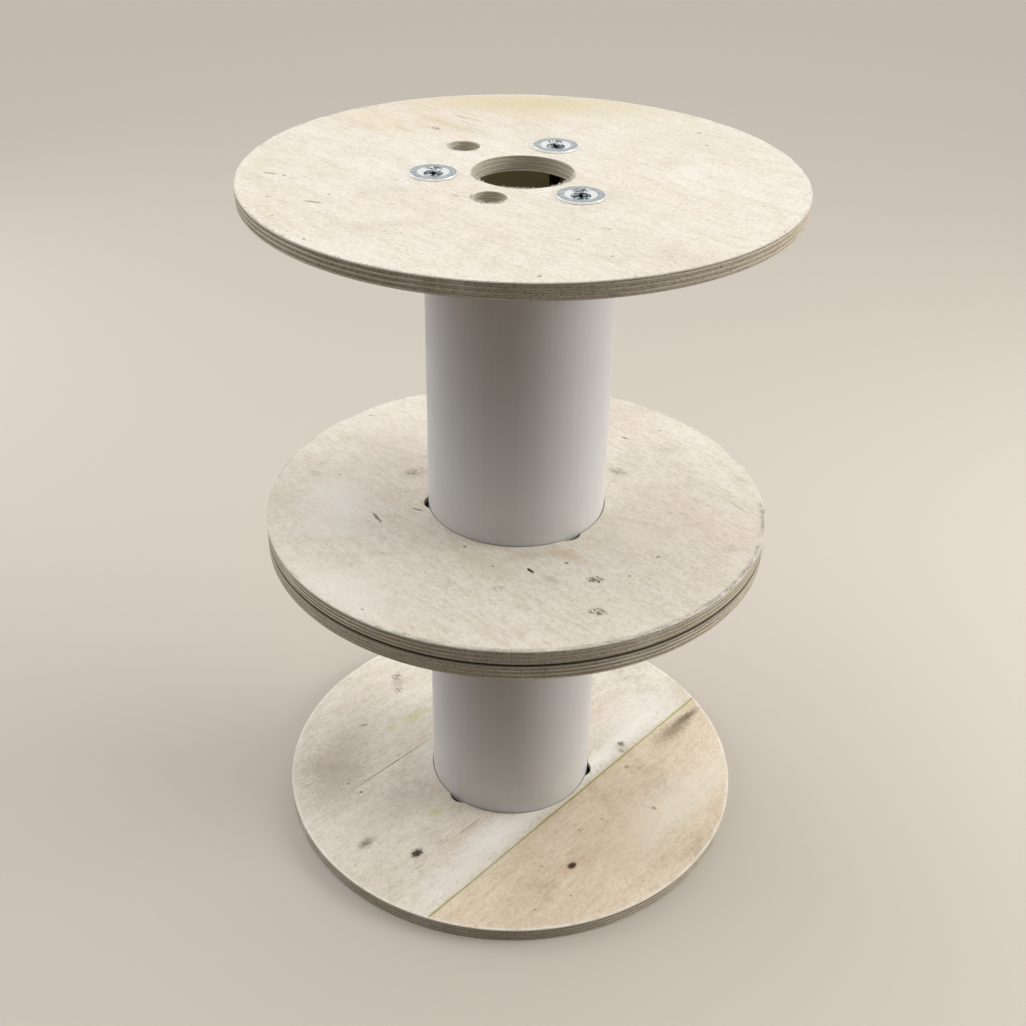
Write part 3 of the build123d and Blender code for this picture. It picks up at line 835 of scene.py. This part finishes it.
def white_pipe(name, low, seed):
    """White plastic of a tube whose foot is at low: a warm painted shade inside, and dusty at the foot."""
    material, tree = start_material(name)
    coords = add(tree, "ShaderNodeTexCoord").outputs["Object"]
    drawn = add(tree, "ShaderNodeTexNoise", {
        "Vector": add(tree, "ShaderNodeMapping", {"Vector": coords, "Scale": draw_scale}),
        "W": seed, "Scale": 1.0, "Detail": 3.0}, noise_dimensions="4D")
    streak = add(tree, "ShaderNodeMapRange", {
        "Value": drawn, "From Min": 0.35, "From Max": 0.75, "To Max": 0.30})
    cloud = blotches(tree, coords, 0.028 / mm, 0.45, 0.72, 1.0, seed, 5.0, 0.6)
    height = add(tree, "ShaderNodeSeparateXYZ", [coords]).outputs["Z"]
    foot = add(tree, "ShaderNodeMapRange", {
        "Value": height, "From Min": low, "From Max": low + dusty_height, "To Min": 0.5, "To Max": 0.12},
        interpolation_type="SMOOTHSTEP")
    dust = add(tree, "ShaderNodeMath", [cloud, foot], operation="MULTIPLY")
    # Painted shade: the bore takes a warm olive cast for the dim light inside the tube.
    inside = add(tree, "ShaderNodeMath", [
        from_axis(tree, coords), pipe_inner_radius + bore_shade_depth], operation="LESS_THAN")
    colour = coated(tree, pipe_white, (streak, pipe_streak), (dust, pipe_dust), (inside, pipe_bore_shade))
    gloss = add(tree, "ShaderNodeMapRange", {"Value": cloud, "To Min": 0.36, "To Max": 0.55})
    bump = add(tree, "ShaderNodeBump", {"Strength": 0.25, "Distance": 0.03 * mm, "Height": drawn})
    surface = add(tree, "ShaderNodeBsdfPrincipled", {
        "Base Color": colour, "Roughness": gloss, "Normal": bump})
    add(tree, "ShaderNodeOutputMaterial", {"Surface": surface})
    return material


for number, reel in enumerate(bolt_turns):
    node = reel + "_core_tube"
    low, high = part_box(node)
    pipe = turned(node + "_pipe", [
        (pipe_inner_radius, low.z), (pipe_outer_radius, low.z),
        (pipe_outer_radius, high.z), (pipe_inner_radius, high.z)], tube_sides, pipe_corner)
    pipe.data.materials.append(white_pipe(node + "_white_plastic", low.z, 3.0 * number + 2.0))
    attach(pipe, "root")
    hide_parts(node)

# Bolt washers: pressed from sheet steel and zinc plated bright. The flat rim laps the bolt
# hole, and the dish takes the countersunk head, so that the head lies below the rim. The
# crystals of the zinc are drawn over two millimetres wide, to show.
washer_thickness, washer_radius, washer_corner = 1.2 * mm, 12.974 * mm, 0.3 * mm
dish_mouth_radius, dish_drop, dish_draw = 8.874 * mm, 0.8 * mm, 0.4 * mm
head_radius, bolt_radius = 5.4 * mm, 3.0 * mm
shank_hole_radius = 3.3 * mm
seat_foot = -dish_drop - (head_radius - shank_hole_radius)
zinc_scale = 0.42 / mm
scratch_scale, scratch_turn = (0.15 / mm, 3.2 / mm, 0.9 / mm), 0.7

ring_tree, socket = start_tree("ring of like pieces", {
    "Object": ["Piece"], "Int": ["Count", "Seed"],
    "Float": ["Circle", "First Turn", "Rise", "Spin"], "Material": ["Finish"]})
number = add(ring_tree, "GeometryNodeInputIndex")
step = add(ring_tree, "ShaderNodeMath", [math.tau, socket["Count"]], operation="DIVIDE")
angle = add(ring_tree, "ShaderNodeMath", [number, step, socket["First Turn"]], operation="MULTIPLY_ADD")
rise = add(ring_tree, "ShaderNodeCombineXYZ", {2: socket["Rise"]})
spot = round_axis(ring_tree, angle, socket["Circle"])
spot = add(ring_tree, "ShaderNodeVectorMath", [spot, rise], operation="ADD")
spots = add(ring_tree, "GeometryNodePoints", {"Count": socket["Count"], "Position": spot})
spin = add(ring_tree, "FunctionNodeRandomValue", {
    2: 0.0, 3: socket["Spin"], "Seed": socket["Seed"]}, data_type="FLOAT").outputs[1]
spin = add(ring_tree, "ShaderNodeCombineXYZ", {2: spin})
like = add(ring_tree, "GeometryNodeObjectInfo", {"Object": socket["Piece"]}).outputs["Geometry"]
copies = add(ring_tree, "GeometryNodeInstanceOnPoints", {"Points": spots, "Instance": like, "Rotation": spin})
copies = add(ring_tree, "GeometryNodeRealizeInstances", [copies])
copies = add(ring_tree, "GeometryNodeSetMaterial", {"Geometry": copies, "Material": socket["Finish"]})
add(ring_tree, "NodeGroupOutput", [copies])


def painted_tilt_share(tree):
    """The share of another tone on faces that lie out of level, as in a pressed dish: light or
    shade painted by the tilt of a face.
    """
    normal = add(tree, "ShaderNodeNewGeometry").outputs["True Normal"]
    level = add(tree, "ShaderNodeSeparateXYZ", [normal]).outputs["Z"]
    level = add(tree, "ShaderNodeMath", [level], operation="ABSOLUTE")
    return add(tree, "ShaderNodeMapRange", {
        "Value": level, "From Min": 0.977, "From Max": 0.997, "To Min": 1.0, "To Max": 0.0})


def painted_dish_reflection(tree):
    """The share of a painted dark reflection in blotches on the sides of a dish that face along Y."""
    normal = add(tree, "ShaderNodeNewGeometry").outputs["True Normal"]
    parts = add(tree, "ShaderNodeVectorMath", [normal], operation="ABSOLUTE")
    parts = add(tree, "ShaderNodeSeparateXYZ", [parts]).outputs
    along_y = add(tree, "ShaderNodeMath", [parts["Y"], parts["X"]], operation="SUBTRACT")
    along_y = add(tree, "ShaderNodeMapRange", {"Value": along_y, "From Min": 0.02, "From Max": 0.12})
    shallow = add(tree, "ShaderNodeMapRange", {"Value": parts["Z"], "From Min": 0.94, "From Max": 0.96})
    share = add(tree, "ShaderNodeMath", [along_y, shallow], operation="MULTIPLY")
    coords = add(tree, "ShaderNodeTexCoord").outputs["Object"]
    reflection_blotches = blotches(tree, coords, 0.52 / mm, 0.42, 0.50, 0.9)
    return add(tree, "ShaderNodeMath", [share, reflection_blotches], operation="MULTIPLY")


def between(full, none):
    """The share of another tone that fades from one height to another, as in a recess."""
    def share(tree):
        coords = add(tree, "ShaderNodeTexCoord").outputs["Object"]
        height = add(tree, "ShaderNodeSeparateXYZ", [coords]).outputs["Z"]
        return add(tree, "ShaderNodeMapRange", {
            "Value": height, "From Min": full, "From Max": none, "To Min": 1.0, "To Max": 0.0})
    return share


def zinc_steel(name, bright, dull, mottle_range, roughness_range, *coats):
    """Zinc-plated steel: a crystalline mottle from bright to dull, and fine handling
    scratches. Coats are (share function, tone)."""
    material, tree = start_material(name)
    coords = add(tree, "ShaderNodeTexCoord").outputs["Object"]
    mottle = blotches(tree, coords, zinc_scale, *mottle_range, detail=4.0, roughness=0.65)
    colour = coated(tree, bright, (mottle, dull), *[(share(tree), tone) for share, tone in coats])
    smooth, rough = roughness_range
    gloss = add(tree, "ShaderNodeMapRange", {"Value": mottle, "To Min": smooth, "To Max": rough})
    scratches = add(tree, "ShaderNodeTexNoise", {
        "Vector": add(tree, "ShaderNodeMapping", {
            "Vector": coords, "Rotation": (0.0, 0.0, scratch_turn), "Scale": scratch_scale}),
        "Scale": 1.0})
    bump = add(tree, "ShaderNodeBump", {"Strength": 0.25, "Distance": 0.02 * mm, "Height": scratches})
    surface = add(tree, "ShaderNodeBsdfPrincipled", {
        "Base Color": colour, "Roughness": gloss, "Metallic": 1.0, "Normal": bump})
    add(tree, "ShaderNodeOutputMaterial", {"Surface": surface})
    return material


def ring_of(piece, node, corner, finish_of, spin=0.0, seed=1):
    """Copies of one piece at every bolt of both reels, in place of these nodes. The piece's
    origin lies at the foot, corner 0, or at the top, corner 1, of a node."""
    for reel, turn in bolt_turns.items():
        ring = grow(ring_tree, f"{reel}_{node}s", {
            "Piece": piece, "Count": bolt_count, "Circle": bolt_circle_radius, "First Turn": turn,
            "Rise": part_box(f"{reel}_{node}_1")[corner].z, "Spin": spin, "Seed": seed,
            "Finish": finish_of(reel)})
        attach(ring, "root")
        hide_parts(*[f"{reel}_{node}_{number}" for number in range(1, bolt_count + 1)])
    bpy.data.objects.remove(piece)


bolt_washer = turned("bolt_washer", [
    (washer_radius, 0), (dish_mouth_radius, 0), (head_radius, -dish_drop),
    (shank_hole_radius, seat_foot), (shank_hole_radius, seat_foot - washer_thickness),
    (head_radius - dish_draw, -dish_drop - washer_thickness - dish_draw),
    (dish_mouth_radius - dish_draw, -washer_thickness), (washer_radius, -washer_thickness)],
    washer_sides, washer_corner)
# Painted highlight: the dish's tilted faces are brighter. Painted reflection: blotches on the sides of the
# dish that face along Y are dark.
bright_zinc = zinc_steel("bright_zinc_plate", "#c3cbd0", "#939ea4", (0.36, 0.68), (0.22, 0.42),
                         (painted_tilt_share, "#f2f6f8"), (painted_dish_reflection, "#56626b"))
ring_of(bolt_washer, "bolt_washer", 1, lambda reel: bright_zinc)

# Tie bolts: long countersunk machine screws that run inside the tube and draw the reel
# together. A cross recess takes the driver, and the thread is cut on the last stretch only.
head_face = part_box("upper_tie_bolt_1")[1].z
bolt_length = head_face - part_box("upper_tie_bolt_1")[0].z
bolt_sides, driver_sides = 32, 24
head_edge = 0.12 * mm
point_radius, point_height = bolt_radius - 0.6 * mm, 0.7 * mm
cross_half_span, cross_half_wing, cross_depth = 3.6 * mm, 0.95 * mm, 2.6 * mm
cross_taper = math.radians(14)
driver_radius, driver_point_drop = 1.9 * mm, 0.5 * mm
cutter_above = 0.4 * mm
thread_pitch, thread_depth, thread_length = 1.0 * mm, 0.5 * mm, 24.0 * mm
rows_per_pitch = 8
run_out_pitches, core_share = 1.5, 0.8


def carved(piece, cutters, operation):
    """A piece after booleans with the cutters, which are used up."""
    for cutter in cutters:
        modifier = piece.modifiers.new("cut", "BOOLEAN")
        modifier.operation = operation
        modifier.solver = "EXACT"
        modifier.object = cutter
    mesh = bpy.data.meshes.new_from_object(piece.evaluated_get(bpy.context.evaluated_depsgraph_get()))
    piece.modifiers.clear()
    piece.data = mesh
    for cutter in cutters:
        bpy.data.objects.remove(cutter)
    mesh.shade_smooth()
    mesh.set_sharp_from_angle(angle=crisp_angle)
    return piece


def tapered_bar(name, half_length, half_width, depth, taper):
    """A bar that narrows downwards from just above the origin's plane."""
    shape = bmesh.new()
    rings = []
    for height in (cutter_above, -depth):
        draw = height * math.tan(taper)
        x, y = half_length + draw, half_width + draw
        rings.append([shape.verts.new((sx * x, sy * y, height)) for sx, sy in square])
        shape.faces.new(rings[-1])
    for step in range(4):
        last = (step + 1) % 4
        shape.faces.new([rings[0][step], rings[0][last], rings[1][last], rings[1][step]])
    return solid(name, shape)


thread_rows = round(thread_length / thread_pitch * rows_per_pitch)
thread_top = -bolt_length + thread_length
section = [(0, -bolt_length), (point_radius, -bolt_length), (bolt_radius, -bolt_length + point_height)]
for row in range(1, thread_rows):
    height = -bolt_length + point_height + row * (thread_length - point_height) / thread_rows
    section.append((bolt_radius, height))
section += [(bolt_radius, thread_top), (bolt_radius, -head_radius + bolt_radius),
            (head_radius, -head_edge), (head_radius - head_edge, 0), (0, 0)]
bolt = turned("tie_bolt", section, bolt_sides)
for vertex in bolt.data.vertices:
    x, y, z = vertex.co
    into = min(thread_top - z, z + bolt_length) / (run_out_pitches * thread_pitch)
    radius = math.hypot(x, y)
    if radius > core_share * bolt_radius and into > 0:
        phase = (z / thread_pitch - math.atan2(y, x) / math.tau) % 1
        groove_share = 1 - abs(2 * phase - 1)
        closer = 1 - min(into, 1) * groove_share * thread_depth / radius
        vertex.co = (x * closer, y * closer, z)
wings = [tapered_bar("wing", cross_half_span, cross_half_wing, cross_depth, cross_taper) for _ in range(2)]
wings[1].data.transform(Matrix.Rotation(math.pi / 2, 4, "Z"))
driver_point = turned("driver_point", [
    (0, -cross_depth - driver_point_drop), (driver_radius, cutter_above), (0, cutter_above)], driver_sides)
carved(bolt, wings + [driver_point], "DIFFERENCE")


def painted_shade_zinc(reel):
    """Zinc with dark patches on the head that are painted shade and reflection, and painted
    shade that makes the recess and shank nearly black.
    """
    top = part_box(f"{reel}_tie_bolt_1")[1].z
    # Painted shade: below the head's top face the bolt is nearly black, in the recess and along the shank.
    return zinc_steel(f"{reel}_painted_shade_zinc", "#d3dbe0", "#3c4650", (0.41, 0.50), (0.25, 0.45),
                      (between(top - 0.6 * mm, top - 0.1 * mm), "#1f2327"))


ring_of(bolt, "tie_bolt", 1, painted_shade_zinc, spin=math.tau, seed=5)

# Cup washers: let into the undersides, rim flush, with a cup up into the bolt hole that
# hides the nut, so that the drum stands flat on its end.
cup_radius, cup_inner_radius = 8.474 * mm, 7.274 * mm
cup_depth = 5.8 * mm
cup_roof = cup_depth - washer_thickness
cup_washer = turned("cup_washer", [
    (cup_inner_radius, 0), (washer_radius, 0), (washer_radius, washer_thickness),
    (cup_radius, washer_thickness), (cup_radius, cup_depth), (shank_hole_radius, cup_depth),
    (shank_hole_radius, cup_roof), (cup_inner_radius, cup_roof)], washer_sides, washer_corner)


def cup_zinc(reel):
    """Zinc, dull where it shows underneath, and black with painted shade up in the bolt hole."""
    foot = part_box(f"{reel}_nut_washer_1")[0].z
    # Painted shade: the cup turns nearly black from 1 mm to 3 mm above its foot, up in the bolt hole.
    return zinc_steel(f"{reel}_cup_zinc", "#b4bdc3", "#7d8890", (0.36, 0.68), (0.26, 0.46),
                      (between(foot + 3.0 * mm, foot + 1.0 * mm), "#15120e"))


ring_of(cup_washer, "nut_washer", 0, cup_zinc)

# Tie nuts: thin hexagon nuts, chamfered on both faces, up against the cups' roofs. The
# chamfers come from what a hexagon and a turned blank have in common.
nut_half_width, nut_height, nut_hole_radius = 5.0 * mm, 3.2 * mm, 3.05 * mm
nut_lead_in, blank_spare, blank_sides = 0.4 * mm, 0.02 * mm, 72
nut_corner = nut_half_width / math.cos(math.pi / 6)
nut_chamfer = (nut_corner - nut_half_width) * math.tan(math.pi / 6)
nut = turned("tie_nut", [(0, 0), (nut_corner, 0), (nut_corner, nut_height), (0, nut_height)], 6)
rounding = turned("rounding", [
    (nut_hole_radius + nut_lead_in, 0), (nut_half_width, 0), (nut_corner + blank_spare, nut_chamfer),
    (nut_corner + blank_spare, nut_height - nut_chamfer), (nut_half_width, nut_height),
    (nut_hole_radius + nut_lead_in, nut_height), (nut_hole_radius, nut_height - nut_lead_in),
    (nut_hole_radius, nut_lead_in)], blank_sides)
carved(nut, [rounding], "INTERSECT")
# Painted shade: the nut's sides and chamfers, which lie out of level, take a darker tone than its faces.
nut_zinc = zinc_steel("nut_zinc", "#b4bdc3", "#6f7a84", (0.38, 0.66), (0.28, 0.50), (painted_tilt_share, "#8f9aa2"))
ring_of(nut, "tie_nut", 0, lambda reel: nut_zinc)

# Sanding fuzz: pale wood fibres that the sander has torn up along the rims of the upper
# faces and round the holes. They lean every way, and stand in tufts. They are drawn thicker
# than real ones, to show. Light comes through them, so they are shaded much like the face.
fibre_radius, fibre_length, fibre_root = 0.20 * mm, 1.0 * mm, 0.12 * mm
fibre_bend, fibre_thinness = 0.5 * mm, 0.8
width_range, length_range, tuft_range = (0.5, 1.3), (0.4, 1.0), (0.34, 0.60)
fuzz_tree, socket = start_tree("sanding fuzz", {
    "Vector": ["Centre"], "Int": ["Count", "Seed"],
    "Float": ["Radius", "Spread", "Height", "Length", "Lean", "From", "Sweep"],
    "Material": ["Finish"]})


def chance(low, high, shift):
    """A random number for each fibre."""
    seed = add(fuzz_tree, "ShaderNodeMath", [socket["Seed"], shift], operation="ADD")
    return add(fuzz_tree, "FunctionNodeRandomValue", {2: low, 3: high, "Seed": seed},
               data_type="FLOAT").outputs[1]


angle = add(fuzz_tree, "ShaderNodeMath", [chance(0.0, 1.0, 1), socket["Sweep"], socket["From"]],
            operation="MULTIPLY_ADD")
inset = add(fuzz_tree, "ShaderNodeMath", [chance(-1.0, 0.0, 2), socket["Spread"], socket["Radius"]],
            operation="MULTIPLY_ADD")
sunk = add(fuzz_tree, "ShaderNodeMath", [socket["Height"], fibre_root], operation="SUBTRACT")
sunk = add(fuzz_tree, "ShaderNodeCombineXYZ", {2: sunk})
root = add(fuzz_tree, "ShaderNodeVectorMath", [round_axis(fuzz_tree, angle, inset), sunk], operation="ADD")
root = add(fuzz_tree, "ShaderNodeVectorMath", [root, socket["Centre"]], operation="ADD")
roots = add(fuzz_tree, "GeometryNodePoints", {"Count": socket["Count"], "Position": root})
place = add(fuzz_tree, "GeometryNodeInputPosition")
tuft = add(fuzz_tree, "ShaderNodeTexNoise", {"Vector": place, "Scale": 0.09 / mm, "Detail": 3.0})
bare = add(fuzz_tree, "FunctionNodeCompare", [tuft, chance(*tuft_range, 3)], operation="LESS_THAN")
roots = add(fuzz_tree, "GeometryNodeDeleteGeometry", {"Geometry": roots, "Selection": bare}, domain="POINT")
fibre = add(fuzz_tree, "GeometryNodeMeshCone", {
    "Vertices": 3, "Side Segments": 2, "Radius Top": 0.0, "Radius Bottom": fibre_radius,
    "Depth": fibre_length}, fill_type="NONE")
standing = add(fuzz_tree, "FunctionNodeRandomValue", {
    0: (-1, -1, -1), 1: (1, 1, 1), "Seed": socket["Seed"]}, data_type="FLOAT_VECTOR").outputs[0]
standing = add(fuzz_tree, "ShaderNodeVectorMath", {0: standing, "Scale": socket["Lean"]}, operation="SCALE")
standing = add(fuzz_tree, "ShaderNodeVectorMath", [standing, (0, 0, 1)], operation="ADD")
spin = add(fuzz_tree, "FunctionNodeAlignRotationToVector", {"Vector": standing}, axis="Z")
long = add(fuzz_tree, "ShaderNodeMath", [socket["Length"], chance(*length_range, 4)], operation="MULTIPLY")
scale = add(fuzz_tree, "ShaderNodeCombineXYZ", [chance(*width_range, 5), fibre_thinness, long])
fibres = add(fuzz_tree, "GeometryNodeInstanceOnPoints", {
    "Points": roots, "Instance": fibre, "Rotation": spin, "Scale": scale})
fibres = add(fuzz_tree, "GeometryNodeRealizeInstances", [fibres])
bend = add(fuzz_tree, "ShaderNodeTexNoise", {"Vector": place, "Scale": 0.9 / mm}).outputs["Color"]
bend = add(fuzz_tree, "ShaderNodeVectorMath", [bend, (0.5, 0.5, 0.5)], operation="SUBTRACT")
bend = add(fuzz_tree, "ShaderNodeVectorMath", {0: bend, "Scale": fibre_bend}, operation="SCALE")
fibres = add(fuzz_tree, "GeometryNodeSetPosition", {"Geometry": fibres, "Offset": bend})
fibres = add(fuzz_tree, "GeometryNodeSetMaterial", {"Geometry": fibres, "Material": socket["Finish"]})
add(fuzz_tree, "NodeGroupOutput", [fibres])

upward_pull = 1.6
wood_fibre, tree = start_material("torn_wood_fibre")
coords = add(tree, "ShaderNodeTexCoord").outputs["Object"]
tone = add(tree, "ShaderNodeTexNoise", {"Vector": coords, "Scale": 0.5 / mm})
tone = coated(tree, "#fffdf6", (tone, "#f3ecdc"))
normal = add(tree, "ShaderNodeNewGeometry").outputs["Normal"]
upright = add(tree, "ShaderNodeVectorMath", [normal, (0, 0, upward_pull)], operation="ADD")
upright = add(tree, "ShaderNodeVectorMath", [upright], operation="NORMALIZE")
surface = add(tree, "ShaderNodeBsdfPrincipled", {
    "Base Color": tone, "Roughness": 0.9, "Specular IOR Level": 0.1, "Normal": upright})
add(tree, "ShaderNodeOutputMaterial", {"Surface": surface})

# Each stretch of fuzz as (disc, name, middle, radius, spread, count, length, lean, from and
# sweep in degrees): the rims of the faces that show, and the lips of the spindle and drive
# holes. Spreads are in millimetres, and a length is a multiple of the fibre's own.
axis = (0, 0, 0)
drive_middles = []
for side, radius in ((-60, bolt_circle_radius + drive_outset), (60, bolt_circle_radius - drive_inset)):
    angle = bolt_turns["upper"] + math.radians(side)
    drive_middles.append((radius * math.cos(angle), radius * math.sin(angle), 0))
rim, front_rim = flange_radius - 0.5 * mm, flange_radius - 0.3 * mm
spindle_lip, drive_lip = spindle_hole_radius + 0.7 * mm, drive_hole_radius + 0.7 * mm
stretches = (
    ("upper_top_flange", "rim", axis, rim, 0.8, 2600, 1.2, 2.2, 0, 360),
    ("upper_bottom_flange", "rim", axis, rim, 1.0, 3200, 1.4, 2.2, 0, 360),
    ("upper_bottom_flange", "front_rim", axis, front_rim, 2.2, 3000, 2.1, 2.2, 235, 125),
    ("lower_bottom_flange", "rim", axis, rim, 0.6, 1800, 1.0, 2.0, 0, 360),
    ("upper_top_flange", "spindle_lip", axis, spindle_lip, 0.7, 1300, 2.0, 2.4, 165, 190),
    ("upper_top_flange", "drive_lip_1", drive_middles[0], drive_lip, 0.7, 280, 1.5, 2.2, 90, 230),
    ("upper_top_flange", "drive_lip_2", drive_middles[1], drive_lip, 0.7, 480, 1.8, 2.4, 170, 200),
)
for number, stretch in enumerate(stretches):
    node, name, middle, radius, spread, count, length, lean, start, sweep = stretch
    fuzz = grow(fuzz_tree, f"{node}_{name}_fuzz", {
        "Radius": radius, "Spread": spread * mm, "Centre": middle, "Height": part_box(node)[1].z,
        "Count": count, "Length": length, "Lean": lean, "From": math.radians(start),
        "Sweep": math.radians(sweep), "Seed": 17 * number + 3, "Finish": wood_fibre})
    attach(fuzz, "root")

# Sawdust: flat crumbs of wood, the largest about a millimetre long, that have settled in
# drifts on the faces that show.
crumb_radius = 0.25 * mm
least_face, level_enough = 400 * mm**2, 0.95
drift_low, drift_high = 0.42, 0.66
crumb_tilt = 0.3
least_crumb, most_crumb = (0.3, 0.4, 0.3), (2.2, 1.0, 0.7)
dust_tree, socket = start_tree("sawdust", {
    "Object": ["Disc"], "Float": ["Density"], "Int": ["Seed"], "Material": ["Finish"]})
disc = add(dust_tree, "GeometryNodeObjectInfo", {"Object": socket["Disc"]}).outputs["Geometry"]
upward = add(dust_tree, "ShaderNodeSeparateXYZ", [add(dust_tree, "GeometryNodeInputNormal")]).outputs["Z"]
face_area = add(dust_tree, "GeometryNodeInputMeshFaceArea")
chosen = add(dust_tree, "FunctionNodeBooleanMath", [
    add(dust_tree, "FunctionNodeCompare", [upward, level_enough], operation="GREATER_THAN"),
    add(dust_tree, "FunctionNodeCompare", [face_area, least_face], operation="GREATER_THAN")],
    operation="AND")
top = add(dust_tree, "GeometryNodeSeparateGeometry", {"Geometry": disc, "Selection": chosen}, domain="FACE")
spots = add(dust_tree, "GeometryNodeDistributePointsOnFaces", {
    "Mesh": top.outputs["Selection"], "Density": socket["Density"], "Seed": socket["Seed"]})
place = add(dust_tree, "GeometryNodeInputPosition")
drift = add(dust_tree, "ShaderNodeTexNoise", {"Vector": place, "Scale": 0.03 / mm, "Detail": 4.0})
luck = add(dust_tree, "FunctionNodeRandomValue", {
    2: drift_low, 3: drift_high, "Seed": socket["Seed"]}, data_type="FLOAT").outputs[1]
swept = add(dust_tree, "FunctionNodeCompare", [drift, luck], operation="LESS_THAN")
spots = add(dust_tree, "GeometryNodeDeleteGeometry", {
    "Geometry": spots.outputs["Points"], "Selection": swept}, domain="POINT")
crumb = add(dust_tree, "GeometryNodeMeshIcoSphere", {"Radius": crumb_radius, "Subdivisions": 1})
turn = add(dust_tree, "FunctionNodeRandomValue", {
    0: (-crumb_tilt, -crumb_tilt, 0.0), 1: (crumb_tilt, crumb_tilt, math.tau),
    "Seed": socket["Seed"]}, data_type="FLOAT_VECTOR").outputs[0]
size = add(dust_tree, "FunctionNodeRandomValue", {
    0: least_crumb, 1: most_crumb, "Seed": socket["Seed"]}, data_type="FLOAT_VECTOR").outputs[0]
crumbs = add(dust_tree, "GeometryNodeInstanceOnPoints", {
    "Points": spots, "Instance": crumb, "Rotation": turn, "Scale": size})
crumbs = add(dust_tree, "GeometryNodeRealizeInstances", [crumbs])
crumbs = add(dust_tree, "GeometryNodeSetMaterial", {"Geometry": crumbs, "Material": socket["Finish"]})
add(dust_tree, "NodeGroupOutput", [crumbs])

wood_dust, tree = start_material("sawdust")
coords = add(tree, "ShaderNodeTexCoord").outputs["Object"]
tone = coated(tree, "#f6efdf", (blotches(tree, coords, 0.7 / mm, 0.4, 0.62), "#b59f7c"))
surface = add(tree, "ShaderNodeBsdfPrincipled", {
    "Base Color": tone, "Roughness": 0.95, "Specular IOR Level": 0.1})
add(tree, "ShaderNodeOutputMaterial", {"Surface": surface})

crumbs_per_square_metre = {
    "upper_top_flange": 26000.0, "upper_bottom_flange": 34000.0, "lower_bottom_flange": 26000.0}
for number, (node, density) in enumerate(crumbs_per_square_metre.items()):
    dust = grow(dust_tree, node + "_sawdust", {
        "Disc": discs[node], "Density": density, "Seed": number + 7, "Finish": wood_dust})
    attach(dust, "root")
